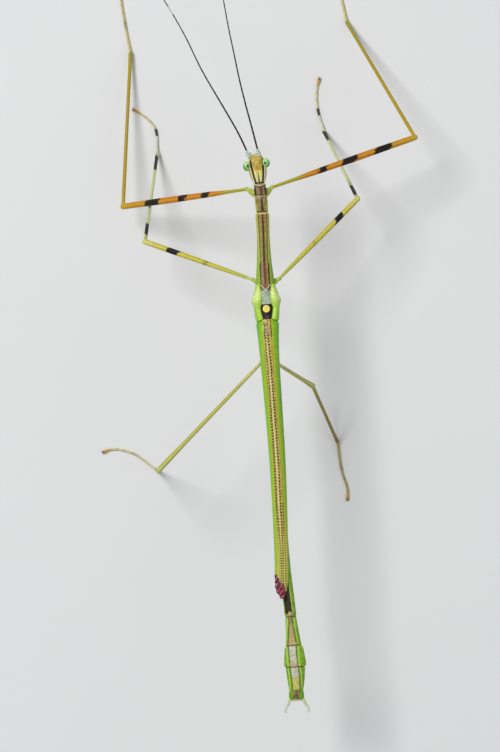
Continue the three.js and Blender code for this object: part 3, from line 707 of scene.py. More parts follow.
def paint_head(s, out, rise, points):
    """A bumpy golden brow with painted glints on it, and a dark stripe behind each eye, with cream between
    and outside.
    """
    top, front, wide = ramp(0.1, 0.35, rise), ramp(1.9, 1.6, s), np.abs(out)
    brow = bump(s, 1.62, 0.24) * bump(out, -0.03, 0.34)
    brow = brow + 0.7 * bump(s, 1.1, 0.3) * bump(wide, 0.34, 0.12)
    lobes = blend((228, 214, 104), (238, 228, 156), flecks(points, 0.25, 6, 0.4, 0.7))
    lobes = coats(lobes, [((244, 238, 186), 0.7 * ramp(2.2, 2.9, s))])
    base = coats(blend((150, 180, 60), (202, 182, 78), ramp(0.05, 0.45, rise)), [
        ((196, 184, 104), 0.6 * (1 - ramp(0.2, 0.6, s))),
        ((176, 124, 28), 0.85 * np.clip(brow, 0, 1)),
        ((150, 104, 34), 0.45 * flecks(points, 0.15, 3, 0.5, 0.7) * ramp(0.1, 0.4, s) * front),
        # painted highlights: small pale golden glints over the front of the head's top
        ((236, 220, 140), 0.55 * flecks(points, 0.2, 4, 0.62, 0.75) * front),
        (lobes, 0.85 * ramp(1.7, 2.05, s)),
    ], top)
    rim_at = np.interp(s, [1.3, 1.7, 2.2, 3.0, 3.3], [0.85, 0.8, 0.725, 0.6, 0.5])
    rim = between(1.3, 3.3, s, 0.12) * bump(wide, rim_at, 0.07)
    line_at = np.interp(s, [1.6, 2.2, 3.0], [0.95, 0.87, 0.71])
    line = between(1.6, 3.2, s, 0.12) * bump(wide, line_at, 0.035)
    stripe_at = np.interp(s, [0.45, 0.9, 1.5, 2.25, 3.0, 3.3], [0.62, 0.67, 0.64, 0.57, 0.42, 0.3])
    half = np.interp(s, [0.45, 0.9, 1.6, 3.2], [0.04, 0.11, 0.12, 0.11])
    shake = 0.03 * (noise(points, 0.3, 7) - 0.5) * np.sign(out)
    stripe = between(-1, 1, (wide - stripe_at + shake) / half, 0.22) * between(0.55, 3.3, s, 0.08)
    wedge_half = np.interp(s, [1.85, 2.4, 3.2], [0.012, 0.045, 0.1])
    wedge = between(-1, 1, out / wedge_half, 0.3) * ramp(1.85, 2.05, s)
    return coats(base, [
        ((240, 234, 190), 0.95 * rim * ramp(-0.05, 0.15, rise)),
        ((40, 34, 14), 0.75 * line * ramp(-0.2, 0.1, rise)),
        (BLACK, 0.97 * stripe * top),
        (BLACK, 0.93 * wedge * top),
        ((36, 22, 14), 0.9 * ramp(3.13, 3.2, s) * ramp(0.62, 0.5, wide) * top),
    ])


def paint_pronotum(s, out, rise, points):
    """Brown, with a cream collar, a maroon field between black bars, and a dark line behind it."""
    top, rear, wide = ramp(0.05, 0.3, rise), ramp(4.65, 4.75, s), np.abs(out)
    brown = coats(blend((142, 124, 82), (140, 124, 66), rear), [
        ((186, 164, 112), 0.5 * flecks(points, 0.2, 8, 0.45, 0.75)),
        ((98, 62, 44), 0.35 * flecks(points, 0.26, 9, 0.5, 0.75)),
    ])
    front = between(3.72, 4.64, s, 0.06)
    off_field = np.abs(out - 0.09)
    half = np.interp(s, [4.8, 5.2, 5.6, 6.3], [0.06, 0.12, 0.1, 0.2])
    shake = 0.12 * (noise(points, 0.32, 10) - 0.5)
    line = ramp(1.25, 0.6, np.abs(out - 0.05 + shake) / half) * between(4.78, 6.36, s, 0.05)
    base = coats(linear(180, 196, 70), [
        (brown, ramp(0.68, 0.58, wide + 0.08 * rear)),
        ((176, 186, 66), 0.8 * ramp(5.4, 6.1, s) * ramp(0.34, 0.56, wide)),
        ((98, 32, 34), 0.9 * front * ramp(0.19, 0.11, off_field)),
        (BLACK, 0.85 * bump(s, 4.6, 0.06) * ramp(0.26, 0.18, off_field)),
        ((56, 18, 16), 0.92 * line),
    ], top)
    bar = front * ramp(0.45, 0.5, wide) * ramp(0.78, 0.72, wide)
    thin_bar = between(4.82, 5.6, s, 0.12) * bump(wide, 0.6, 0.05)
    collar = s - 0.1 * ramp(0.5, 0.0, wide)
    return coats(base, [
        (BLACK, 0.95 * bar * ramp(-0.2, 0.1, rise)),
        (BLACK, 0.75 * thin_bar * ramp(-0.1, 0.15, rise)),
        ((74, 48, 34), 0.8 * between(3.5, 3.66, collar, 0.05) * top),
        ((230, 212, 166), 0.97 * bump(collar, 3.4, 0.048) * top),
        ((214, 180, 146), 0.8 * bump(s, 4.7, 0.05) * top),
    ])


CHAIN = {"pitch": 0.27, "half_length": 0.12, "half_width": 0.13}


def paint_mesothorax(s, out, rise, points):
    """A golden brown band with dark borders, and a chain of black beads down its middle."""
    top, wide = ramp(0.05, 0.3, rise), np.abs(out)
    sides = blend((160, 170, 52), (142, 182, 46), ramp(9.5, 13, s))
    # painted shade: the right flank is darker green, on the side away from the light
    sides = coats(sides, [((118, 156, 34), 0.6 * ramp(0.3, 0.8, out))])
    gold = coats(blend((156, 124, 62), (156, 144, 60), ramp(7.4, 9.0, s)), [
        ((152, 116, 66), ramp(11.6, 12.8, s)),
        ((208, 188, 116), 0.5 * flecks(points, 0.18, 12, 0.45, 0.75)),
    ])
    half = np.interp(s, [6.5, 9.5, 12, 14.8], [0.5, 0.42, 0.4, 0.46])
    pale_at = half + 0.13 + 0.1 * ramp(11.8, 12.6, s)
    phase = (s / CHAIN["pitch"]) % 1 - 0.5
    aside = out + 0.04 * (noise(points, 0.3, 21) - 0.5)
    bead = np.hypot(phase * CHAIN["pitch"] / CHAIN["half_length"], aside / CHAIN["half_width"])
    chain = np.maximum(ramp(1.2, 0.7, bead), 0.8 * ramp(0.08, 0.04, np.abs(aside)))
    chain = chain * (between(6.62, 12.1, s, 0.15) + 0.85 * between(12.1, 14.5, s, 0.2))
    ink = blend((30, 14, 12), (80, 32, 24), ramp(11.8, 12.6, s))
    return coats(sides, [
        (gold, between(-1, 1, out / half, 0.12)),
        ((66, 50, 18), 0.9 * bump(wide, half, 0.055)),
        ((210, 212, 112), (0.65 - 0.4 * ramp(11.5, 12.5, s)) * bump(wide, pale_at, 0.06)),
        ((112, 58, 40), 0.6 * bump(out, 0, 0.19) * ramp(6.7, 7, s)),
        (ink, 0.95 * chain),
        (BLACK, 0.93 * between(0.42, 0.54, wide, 0.03) * between(12.2, 14.7, s, 0.25)),
        ((224, 206, 132), 0.9 * bump(s, 6.62, 0.07)),
        (BLACK, 0.93 * bump(s, 6.44, 0.06)),
    ], top)


SPOT = {"back": 17.24, "out": -0.05}


def paint_metathorax(s, out, rise, points):
    """A grey patch, and behind it a black one with the yellow spot."""
    top, wide = ramp(0.05, 0.3, rise), np.abs(out)
    grey = coats(blend((182, 192, 166), (132, 146, 136), flecks(points, 0.18, 31, 0.3, 0.75)), [
        ((206, 212, 196), 0.5 * flecks(points, 0.16, 32, 0.6, 0.8)),
        ((104, 76, 56), 0.8 * ramp(15.35, 15.1, s)),
        ((190, 214, 130), 0.6 * ramp(0.42, 0.6, wide) * ramp(15.2, 15.5, s)),
    ])
    half = np.interp(s, [16.5, 16.8, 17.25, 17.9, 18.8], [0.4, 0.62, 0.84, 0.62, 0.44])
    dark = blend((24, 14, 10), (70, 62, 62), ramp(17.8, 18.2, s) * ramp(0.3, 0.1, wide))
    spot = 1.07 * np.hypot(s - SPOT["back"], out - SPOT["out"])
    base = coats(linear(136, 200, 52), [
        (grey, between(14.8, 16.9, s, 0.06) * between(-0.6, 0.58, out, 0.05)),
        (dark, between(16.72, 19.4, s, 0.07) * between(-1, 1, (out + 0.02) / half, 0.06)),
        ((255, 240, 150), ramp(0.44, 0.4, spot)),
        ((255, 218, 40), ramp(0.38, 0.26, spot)),
    ], top)
    glow = flecks(points, 0.14, 33, 0.5, 0.65) * ramp(0.36, 0.26, spot)
    return coats(base, [((255, 244, 150), 0.6 * glow)])


def vee_mark(base, s, out, rise):
    """Two cream lines that meet behind the mesothorax, each with black behind it."""
    wide = np.abs(out)
    vee = np.interp(s, [14.58, 15.2], [0.52, 0.04])
    behind = between(14.74, 15.16, s, 0.05) * between(vee + 0.02, vee + 0.2, wide, 0.03)
    cream = between(14.56, 15.24, s, 0.03) * between(vee - 0.06, vee + 0.05, wide, 0.02)
    return coats(base, [(BLACK, 0.95 * behind), ((240, 226, 176), 0.95 * cream)], ramp(0.05, 0.3, rise))


# [joint, half-width of the beige triangle in front of it] on the abdomen's striped end
CROWNS = ((51.57, 0.44), (54.76, 0.62), (57.18, 0.6))


def paint_abdomen(s, out, rise, points):
    """Green, with painted shade, nearly black, on the back under the wings, and a pale stripe on its end.
    """
    top = ramp(0.05, 0.35, rise)
    # painted shade: the back under the wings is nearly black with brown flecks, standing for the wings'
    # shadow
    wing_shade = ramp(24.2, 24.5, s) * ramp(51.3, 51.15, s) * between(-0.55, 0.2, out, 0.04)
    hidden_rim = ramp(24.4, 24.6, s) * ramp(51.2, 51, s) * bump(out, 0.27, 0.05)
    black = blend((24, 16, 12), (70, 48, 34), flecks(points, 0.2, 43, 0.5, 0.8))
    base = coats(blend((112, 164, 30), (142, 186, 48), flecks(points, 0.5, 41, 0.4, 0.8)), [
        ((92, 150, 24), 0.5 * flecks(points, 0.18, 42, 0.6, 0.85)),
        (PALE_LIME, 0.6 * bump(rise, 0.12, 0.09)),
        (black, 0.97 * wing_shade * top),
        ((196, 206, 120), 0.7 * hidden_rim * top),
    ])
    # The stripe lies a little left of the midline.
    out = out - np.interp(s, [51.6, 54.6, 56, 57.2, 58.5, 60], [-0.05, -0.15, -0.17, -0.15, -0.03, 0])
    wide = np.abs(out)
    end = between(51.62, 59.74, s, 0.04)
    half = np.interp(
        s, [51.7, 52.5, 54.0, 54.7, 55.0, 57.1, 57.4, 59.7], [0.15, 0.19, 0.36, 0.46, 0.4, 0.4, 0.44, 0.4]
    )
    ragged = 0.05 * (noise(points, 0.16, 45) - 0.5)
    border = ramp(0.09, 0.04, np.abs(np.abs(out + ragged) - half - 0.02)) * (0.55 + 0.45 * wave(s, 0.21))
    grey = coats(blend((186, 170, 110), (204, 208, 186), between(54.85, 58.5, s, 0.3)), [
        ((204, 198, 108), ramp(57.9, 58.7, s)),
        ((120, 88, 50), 0.6 * between(51.6, 52.4, s, 0.2)),
        ((152, 140, 96), 0.55 * flecks(points, 0.15, 44, 0.5, 0.72)),
    ])
    base = coats(base, [
        (grey, between(-1, 1, (out + ragged) / half, 0.1)),
        ((86, 58, 26), 0.9 * border),
        ((192, 226, 92), 0.8 * bump(wide, half + 0.24, 0.08)),
    ], end * top)
    for at, crown_half in CROWNS:
        crown = between(at - 0.62, at - 0.07, s, 0.04)
        crown = crown * ramp(0.06, 0, wide - crown_half * (s - at + 0.66) / 0.6)
        base = coats(base, [
            ((206, 176, 132), 0.85 * crown),
            ((112, 76, 46), 0.6 * crown * flecks(points, 0.14, 46, 0.5, 0.7)),
            ((48, 28, 16), 0.95 * bump(s, at, 0.06) * ramp(1.12, 0.9, wide)),
        ], top)
    brown = blend((150, 120, 84), (96, 74, 44), flecks(points, 0.2, 47, 0.4, 0.7))
    return coats(base, [
        ((96, 66, 34), 0.85 * bump(s, 59.8, 0.05) * ramp(0.62, 0.4, wide) * top),
        (brown, 0.9 * between(59.88, 60.78, s, 0.04) * between(-0.4, 0.38, out, 0.05) * top),
        ((228, 220, 168), 0.85 * ramp(60.76, 60.84, s) * between(-0.46, 0.46, out, 0.05)),
    ])


# [paint, from, to] where each length of the body takes over from the one before
LENGTHS = [
    (paint_pronotum, 3.28, 3.34), (paint_mesothorax, 6.34, 6.38), (paint_metathorax, 14.84, 14.9),
    (paint_abdomen, 24.1, 24.4),
]


def paint_body(part):
    s, p = part.along, part.points
    centre, across, _ = SPINE.frame(s)
    out, rise = np.sum((p - centre) * across, axis=1), np.sin(part.around)
    colour = paint_head(s, out, rise, p)
    for paint, start, end in LENGTHS:
        colour = mix(colour, paint(s, out, rise, p), ramp(start, end, s))
        if paint == paint_metathorax:
            colour = vee_mark(colour, s, out, rise)
    belly = blend((172, 196, 96), LEAF, ramp(15, 26, s))
    grain = 0.25 + 0.75 * between(0.3, 19, s, 0.3) - 0.1 * ramp(24, 25, s)
    return mix(colour, belly, 0.8 * ramp(-0.2, -0.7, rise)), grain


# [from, to, colour, strength] of the bands, in shares of a joint of a leg
FRONT_BANDS = {
    "left": [(0.298, 0.354), (0.478, 0.538), (0.694, 0.806)],
    "right": [(0.317, 0.377), (0.485, 0.583), (0.717, 0.829)],
}
LEG_MARKS = {
    "mid_left_femur": [(0.688, 0.784, BLACK, 0.995), (0.418, 0.452, DARK_OLIVE, 0.5)],
    "mid_right_femur": [(0.705, 0.803, BLACK, 0.995), (0.43, 0.46, DARK_OLIVE, 0.3)],
    "mid_left_tibia": [(0.067, 0.19, BLACK, 0.98), (0.798, 0.955, BLACK, 0.96)],
    "mid_right_tibia": [(0.045, 0.18, BLACK, 0.98), (0.863, 0.985, BLACK, 0.96)],
}
for band_side, bands in FRONT_BANDS.items():
    LEG_MARKS[f"front_{band_side}_femur"] = [(*band, BLACK, 0.995) for band in bands]
# [share, colour] along each joint
FEMUR_COLOURS = {
    "front": [
        (0, LEG_GREEN), (0.15, LEG_GREEN), (0.24, ORANGE), (0.6, ORANGE), (0.9, (204, 154, 28)),
        (0.98, LEG_YELLOW),
    ],
    "mid": [
        (0, PALE_GREEN), (0.08, (186, 190, 74)), (0.5, (196, 192, 60)), (0.86, (204, 196, 74)),
        (0.95, (210, 206, 120)),
    ],
    "hind": [(0, (208, 202, 136)), (0.3, (192, 184, 84)), (0.8, (190, 186, 84)), (1, (184, 192, 104))],
}
TIBIA_COLOURS = {
    "front": [(0, LEG_YELLOW), (0.1, (190, 160, 34)), (0.9, (176, 158, 44)), (1, OLIVE)],
    "mid": [(0, (186, 192, 110)), (0.25, PALE_GREEN), (1, PALE_GREEN)],
    "hind": [(0, (186, 180, 84)), (1, (180, 186, 108))],
    # painted shade: the right hind tibia is darker and browner, as it lies in the body's shadow
    "hind_right": [(0, (176, 166, 84)), (0.5, (162, 146, 82)), (1, (150, 126, 84))],
}
FEMUR_STREAK = {"front": (170, 98, 10), "mid": (196, 160, 36), "hind": (150, 152, 52)}
# painted highlights along each femur's keels and its top
FEMUR_HIGHLIGHT = {"front": (228, 166, 48), "mid": (226, 222, 120), "hind": (214, 214, 124)}
# [pale colour, share of the dark ring at the end of its first joint]
FOOT_COLOURS = {
    "front": ((200, 190, 124), 0.35), "mid": ((206, 212, 190), 0.96), "hind": ((212, 204, 164), 0.15),
    # painted shade: the right hind foot is darker and browner, as it lies in the body's shadow
    "hind_right": ((176, 158, 108), 0.15),
}


def colours_at(stops, share):
    colours = np.array([linear(*stop[1]) for stop in stops])
    return np.stack([np.interp(share, [stop[0] for stop in stops], c) for c in colours.T], -1)


def paint_limb(part):
    leg, joint = part.name.rsplit("_", 1)
    pair = leg.split("_")[0]
    share, a = part.along, part.around
    stops = FEMUR_COLOURS if joint == "femur" else TIBIA_COLOURS
    colour = colours_at(stops.get(leg, stops[pair]), share)
    keel = wave(a - np.pi / 2, TURN_ROUND / KEELS)
    if joint == "femur":
        # painted highlight along the top of the femur, with fainter ones along its keels
        highlight_crest = bump(np.cos(a), -0.1, 0.3) * ramp(0, 0.4, np.sin(a))
        colour = coats(colour, [
            (FEMUR_STREAK[pair], 0.4 * (1 - keel) * between(0.2, 0.97, share, 0.05)),
            (FEMUR_HIGHLIGHT[pair], (0.15 * keel + 0.45 * highlight_crest) * ramp(0.15, 0.3, share)),
        ])
    else:
        colour = mix(colour, colour * 0.66, 0.4 * (1 - keel))
    colour = mix(colour, colour * 0.55, 0.4 * flecks(part.points, 0.13, 51, 0.6, 0.8))
    edge = 0.03 * (noise(part.points, 0.25, 57) - 0.5) + 0.012 * np.cos(a)
    marks = LEG_MARKS.get(part.name, [])
    bands = [(tone, hold * between(low, high, share + edge, 0.006)) for low, high, tone, hold in marks]
    return coats(colour, bands), 0.35


def paint_foot(part):
    leg = part.name.rsplit("_", 1)[0]
    pair = leg.split("_")[0]
    s, ends = part.along, part.marks
    pale, dark = FOOT_COLOURS.get(leg, FOOT_COLOURS[pair])
    colour = linear(*pale)
    if pair == "mid":
        colour = coats(colour, [((214, 206, 150), 0.8 * ramp(ends[1] - 0.1, ends[1] + 0.1, s))])
    colour = coats(colour, [(BLACK, dark * between(ends[1] - 0.85, ends[1] - 0.05, s, 0.06))])
    colour = coats(colour, [((96, 78, 50), 0.6 * bump(s, end + 0.02, 0.05)) for end in ends[1:5]])
    return coats(colour, [
        ((206, 156, 60), 0.9 * ramp(ends[4] + 0.02, ends[4] + 0.2, s)),
        ((110, 66, 30), 0.6 * ramp(ends[5] - 0.25, ends[5], s)),
    ]), 0.3


def paint_coxa(part):
    colour = blend((172, 184, 70), (200, 186, 76), flecks(part.points, 0.2, 61, 0.45, 0.8))
    if not part.name.startswith("front"):
        colour = mix(colour, linear(150, 196, 62), 0.6)
    return coats(colour, [(PALE_LIME, 0.5 * bump(part.along, 0.9, 0.08))]), 0.8


def paint_mouth(part):
    return blend((176, 172, 86), (126, 96, 46), flecks(part.points, 0.2, 71, 0.5, 0.8)), 0.5


def paint_cercus(part):
    return blend((204, 212, 158), (214, 222, 202), ramp(0.4, 1.2, part.along)), 0.3


PAINTS = {
    "body": paint_body, "mouth": paint_mouth, "cercus": paint_cercus, "coxa": paint_coxa,
    "femur": paint_limb, "tibia": paint_limb, "tarsus": paint_foot,
}


def painted(part):
    """The colour and the relief's strength at each vertex of a part of the skin."""
    colour, grain = PAINTS[part.name.split("_")[-1]](part)
    return colour, np.broadcast_to(grain, len(part.points))


# ---- materials

MICRON = 0.000001


class Graph:
    """A material, its shader and the nodes that feed it."""

    def __init__(self, name, roughness, coat=0.0, subsurface=0.0):
        self.material = bpy.data.materials.new(name)
        self.material.use_nodes = True
        self.tree = self.material.node_tree
        self.shader = self.tree.nodes["Principled BSDF"]
        self.fill(self.shader, {
            "Roughness": roughness, "Specular IOR Level": 0.32, "Coat Weight": coat, "Coat Roughness": 0.2,
            "Subsurface Weight": subsurface, "Subsurface Radius": (0.0004, 0.0005, 0.0002),
            "Subsurface Scale": 1.0,
        })

    def fill(self, node, inputs):
        """Set a node's inputs; one that is given another node's output is linked to it."""
        for key, value in inputs.items():
            if isinstance(value, bpy.types.NodeSocket):
                self.tree.links.new(value, node.inputs[key])
            else:
                node.inputs[key].default_value = value

    def add(self, kind, output, inputs=(), **settings):
        """A new node, of which one output is handed back."""
        node = self.tree.nodes.new("ShaderNode" + kind)
        for key, value in settings.items():
            setattr(node, key, value)
        self.fill(node, dict(inputs))
        return node.outputs[output]

    def spread(self, value, low, high):
        """The middle of a noise's range, stretched from low to high."""
        ends = {"From Min": 0.3, "From Max": 0.7, "To Min": low, "To Max": high}
        return self.add("MapRange", "Result", {"Value": value, **ends})


def cuticle(name, roughness, blotch=0.22, speckle=9000.0, pits=16000.0, height=12 * MICRON, **look):
    """Insect skin: its painted tint, mottled, finely pitted and a little waxy."""
    graph = Graph(name, roughness, **look)
    place = graph.add("TexCoord", "Object")
    tint = graph.add("Attribute", "Color", attribute_name="tint")
    grain = graph.add("Attribute", "Fac", attribute_name="grain")

    cloud = {"Vector": place, "Scale": speckle, "Detail": 4.0, "Roughness": 0.6}
    level = graph.spread(graph.add("TexNoise", "Fac", cloud), 1 - blotch, 1 + blotch)
    mottled = graph.add("VectorMath", "Vector", {0: tint, "Scale": level}, operation="SCALE")

    cells = graph.add("TexVoronoi", "Distance", {"Vector": place, "Scale": pits})
    fine = graph.add("TexNoise", "Fac", {"Vector": place, "Scale": pits * 0.6, "Detail": 3.0})
    relief = graph.add("Math", "Value", {0: cells, 1: fine}, operation="ADD")
    relief = graph.add("Math", "Value", {0: relief, 1: grain}, operation="MULTIPLY")
    lumps = graph.add("Bump", "Normal", {"Strength": 0.8, "Distance": height, "Height": relief})
    waxy = graph.spread(fine, roughness - 0.08, roughness + 0.1)
    graph.fill(graph.shader, {"Base Color": mottled, "Normal": lumps, "Roughness": waxy})
    return graph.material


# ---- the skin


def joined(parts):
    """One closed surface round all the parts of the skin, without a seam."""
    whole = new_object("skin", parts[0].mesh())
    others = bpy.data.collections.new("joined")
    for part in parts[1:]:
        others.objects.link(bpy.data.objects.new(part.name, part.mesh()))
    bpy.context.scene.collection.children.link(others)
    bpy.context.view_layer.update()
    union = whole.modifiers.new("union", "BOOLEAN")
    union.operation = "UNION"
    union.operand_type = "COLLECTION"
    union.collection = others
    union.solver = "MANIFOLD"
    for other in bpy.context.selected_objects:
        other.select_set(False)
    whole.select_set(True)
    bpy.context.view_layer.objects.active = whole
    bpy.ops.object.modifier_apply(modifier=union.name)
    for spare in list(others.objects):
        bpy.data.objects.remove(spare)
    bpy.data.collections.remove(others)
    return whole


def copy_paint(whole, parts):
    """Give each vertex of the joined skin the paint of the nearest vertex of its parts."""
    source = np.vstack([metres(part.points) for part in parts])
    tints, grains = zip(*(painted(part) for part in parts))
    tree = KDTree(len(source))
    for index, place in enumerate(source):
        tree.insert(place, index)
    tree.balance()
    corners = np.empty(len(whole.data.vertices) * 3, np.float32)
    whole.data.vertices.foreach_get("co", corners)
    nearest = np.array([tree.find(corner)[1] for corner in corners.reshape(-1, 3)])
    shade(whole.data, np.vstack(tints)[nearest], np.concatenate(grains)[nearest])


parts = [body_part(), mouth_part(), cercus_part(-1), cercus_part(1)]
for leg_name in STANCES:
    parts += leg_parts(leg_name)
skin = joined(parts)
copy_paint(skin, parts)
skin.data.materials.clear()  # the union leaves an empty slot
skin.data.materials.append(cuticle("skin_cuticle", 0.42, subsurface=0.08))
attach(skin, "root")
fleshy = ["head", "mouthparts", "prothorax", "mesothorax", "metathorax", "cercus_left", "cercus_right"]
fleshy += [f"abdomen_segment_{n}" for n in range(2, 11)]
fleshy += [f"{leg}_{joint}" for leg in STANCES for joint in ("coxa", "femur", "tibia", "tarsus")]
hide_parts(*fleshy)

# ---- eyes

PUPIL = np.array([-0.3, 0.02, 0.95])  # its direction from the eye's middle: outwards, back, up
PUPIL /= np.linalg.norm(PUPIL)
EYE_RINGS, EYE_SIDES = 60, 72


def eye_colour(facing):
    """Mint green facets, a pale rim, and the dark spot that seems to look up."""
    outward, back, up = facing.T
    gap = np.linalg.norm(facing - PUPIL, axis=1)
    return coats(blend((90, 168, 66), (142, 210, 108), ramp(-0.1, 0.9, up)), [
        ((56, 116, 48), 0.75 * ramp(0.3, 0.95, outward + 0.6 * back)),
        ((206, 236, 172), 0.8 * bump(back, -0.7, 0.34) * ramp(0, 0.5, up)),
        ((216, 230, 172), 0.9 * ramp(-0.38, -0.58, outward)),
        ((60, 120, 66), 0.5 * ramp(0.5, 0.3, gap)),
        (BLACK, 0.97 * ramp(0.3, 0.2, gap)),
    ])


def add_eye(side_name, side):
    """A compound eye, in place of its solid."""
    centre, across, up = SPINE.frame(np.array(EYE["back"]))
    back = np.cross(across, up)
    middle = centre + across * side * EYE["out"] + up * EYE["up"] + np.array(EYE_NUDGE[side_name])
    polar = np.linspace(0.04, np.pi - 0.04, EYE_RINGS)
    t, a = polar[:, None], ring_angles(EYE_SIDES)
    unit = np.stack([np.sin(t) * np.cos(a), np.sin(t) * np.sin(a), -np.cos(t) + 0 * a], -1)
    rings = middle + (unit * EYE["size"]) @ np.stack([across, back, up])
    part = Part("compound_eye_" + side_name, rings, polar)
    facing = (part.points - middle) @ np.stack([across * side, back, up]).T / EYE["size"]
    add_piece(part.name, part.mesh(), eye_colour(facing), 0.5, facets, "eye", "eye_" + side_name)


facets = cuticle(
    "eye_facets", 0.16, blotch=0.05, speckle=20000.0, pits=26000.0, height=4 * MICRON, coat=0.6
)
add_pair(add_eye)

# ---- feelers

FEELER_STEP, FEELER_SIDES = 0.05, 14


def feeler_colour(u, points, rings):
    """Nearly black, with a few pale rings, and bluish white joints at its base."""
    pale = sum(between(at - 0.5, at + 0.5, u, 0.08) for at in rings)
    return coats(linear(30, 24, 16), [
        ((90, 70, 46), 0.35 * flecks(points, 0.6, 81, 0.5, 0.8)),
        ((196, 204, 170), 0.85 * np.clip(pale, 0, 1)),
        ((196, 210, 200), 0.95 * ramp(FEELER_BASE + 0.12, FEELER_BASE, u)),
        ((168, 160, 96), 0.8 * ramp(0.0, -0.2, u)),
    ])


def add_feeler(side_name, side):
    """Two stout joints in their socket, and a whip of many short ones, thinner than its solids."""
    route = Line([on_body(side * 0.36, 0.5, 0.2), *FEELERS[side_name]])
    s = np.arange(0.0, route.length, FEELER_STEP)
    u = s - np.linalg.norm(route.points[0] - np.array(FEELERS[side_name][0]))
    whip = np.interp(u, [FEELER_BASE, 6, 12, 20, 40], [0.1, 0.085, 0.07, 0.055, 0.03])
    joint = np.interp(u, [0, 8, 40], [0.45, 0.9, 1.3])
    whip = whip * (1 + 0.12 * np.cos(np.pi * np.cumsum(FEELER_STEP / joint)) ** 16)
    base = 0.2 - 0.05 * bump(u, 0.36, 0.05) - 0.05 * ramp(0.36, 0.62, u) + 0.05 * bump(u, -0.2, 0.12)
    radius = softened(np.where(u < FEELER_BASE, base, whip), 1)
    part = tube("whip_" + side_name, route.inside(s), radius, radius, FEELER_SIDES, along=u)
    colour = feeler_colour(part.along, part.points, PALE_RINGS[side_name])
    solids = [f"antenna_{side_name}_{n}" for n in ("base", 1, 2, 3)]
    add_piece(part.name, part.mesh(), colour, 0.4, feeler_skin, "feeler", *solids)


feeler_skin = cuticle("feeler_cuticle", 0.5, blotch=0.2)
add_pair(add_feeler)

# ---- fore wings

TEGMEN_RINGS, TEGMEN_CELLS = 110, 32
ROUND_END = 0.16  # how far its rear corners stand forward of its middle
SHELL = 0.1  # the thickness left where the hind wing's root lies under it
CLEARANCE = 0.05  # between it and the body


def net(t, s):
    """The long veins of a tegmen."""
    return bump((t * 7 + 0.3 * np.sin(s * 2)) % 1, 0.5, 0.12)


def paint_tegmen(part, t):
    """Bright green with a painted highlight on the shoulder's ridge; t runs from its lower edge to its
    upper one.
    """
    s, p = part.along, part.points
    end = part.along.max()
    # painted highlight: pale cream over the front of the tegmen and its shoulder's ridge
    pale = ramp(0.2, 0.5, t + 0.1 * (s - 16)) * ramp(1.35, 0.9, t + 0.3 * (s - 15.8))
    pale = 0.95 * np.clip(bump(s, 15.7, 1.15) * pale, 0, 1)
    cells = np.clip(net(t, s) + bump((s * 2.2 + t * 2) % 1, 0.5, 0.1), 0, 1)
    dash = between(0.1, 0.4, t, 0.06) * bump(s, 16.46 + 0.5 * (t - 0.2), 0.07)
    return coats(blend((118, 184, 32), (164, 212, 54), ramp(0.1, 0.8, t)), [
        ((236, 250, 152), pale),
        ((206, 236, 104), 0.7 * between(16.6, 18.5, s, 0.3) * bump(t, 0.95, 0.12)),
        ((112, 176, 40), 0.3 * cells),
        ((186, 226, 80), 0.3 * flecks(p, 0.22, 82, 0.5, 0.75)),
        ((34, 48, 14), 0.9 * ramp(end - 0.09, end - 0.03, s) * ramp(-0.1, 0.3, t)),
        ((52, 84, 16), 0.8 * dash),
    ])


def add_tegmen(side_name, side):
    """The short leathery fore wing: a pointed shoulder, a ridge with a painted highlight and a net of
    veins.
    """
    s = np.linspace(TEGMEN_ROWS[0][0], TEGMEN_ROWS[-1][0], TEGMEN_RINGS)
    share = np.linspace(0, 1, TEGMEN_CELLS)
    row = s[:, None]  # one place along for each ring, against the shares across
    thick, low, high = (softened(c, 1)[:, None] for c in rows_at(TEGMEN_ROWS, s))
    width, above, below = (size[:, None] for size in body_sizes(s))
    lips = ramp(s[0] - 0.08, s[0] + 0.08, row) * ramp(s[-1] + 0.05, s[-1] - 0.04, row)
    hollow = np.maximum(thick - SHELL, 0) * ramp(18.2, 18.42, row)
    shoulder = 0.13 * bump(share, 0.34, 0.2) * bump(row, 16.3, 0.55)
    ridge = 0.05 * bump(share, 0.8 - 0.1 * (row - 15.2), 0.09) * between(15.2, 17.4, row, 0.3)
    edge = 1 - 0.8 * np.abs(2 * share - 1) ** 5
    rise = (thick * edge + shoulder + ridge + 0.012 * net(share, row)) * lips
    under = np.minimum(hollow, 0.75 * rise)

    def arc(t, height):
        angle = np.radians(low + (high - low) * t)
        back = row - ROUND_END * np.abs(2 * t - 1) ** 3 * ramp(17.6, 18.6, row)
        z = np.sin(angle)
        body_height = np.where(z > 0, above, below)
        height = CLEARANCE + height
        return on_body(side * (width + height) * np.cos(angle), back, (body_height + height) * z)

    rings = np.concatenate([arc(share, rise), arc(share[::-1], under[:, ::-1])], axis=1)
    part = Part("fore_wing_" + side_name, rings, s)
    t = np.r_[np.tile(np.r_[share, share[::-1]], len(s)), 0.5, 0.5]
    colour = paint_tegmen(part, t)
    add_piece(part.name, part.mesh(), colour, 0.5, leather, "tegmen", "tegmen_" + side_name)


leather = cuticle(
    "wing_leather", 0.42, blotch=0.1, speckle=12000.0, pits=9000.0, coat=0.06, subsurface=0.1
)
add_pair(add_tegmen)

# ---- hind wings

RIB_PITCH = 0.167
OUTER_CELLS, INNER_CELLS = 64, 14  # across the outside of a folded wing and its inside
# [distance, left and right edge of the golden band] off the midline
BAND_ROWS = [
    (0.0, -0.42, 0.38), (2.0, -0.52, 0.41), (5.6, -0.55, 0.38), (12.8, -0.46, 0.38),
    (20.0, -0.5, 0.42), (24.9, -0.42, 0.62), (27.0, -0.4, 0.8), (30.8, -0.4, 0.8),
]
# From here on the dots stand closer together.
CLOSER, CLOSE_PITCH, WING_END = 23.0, 0.28, 32.0
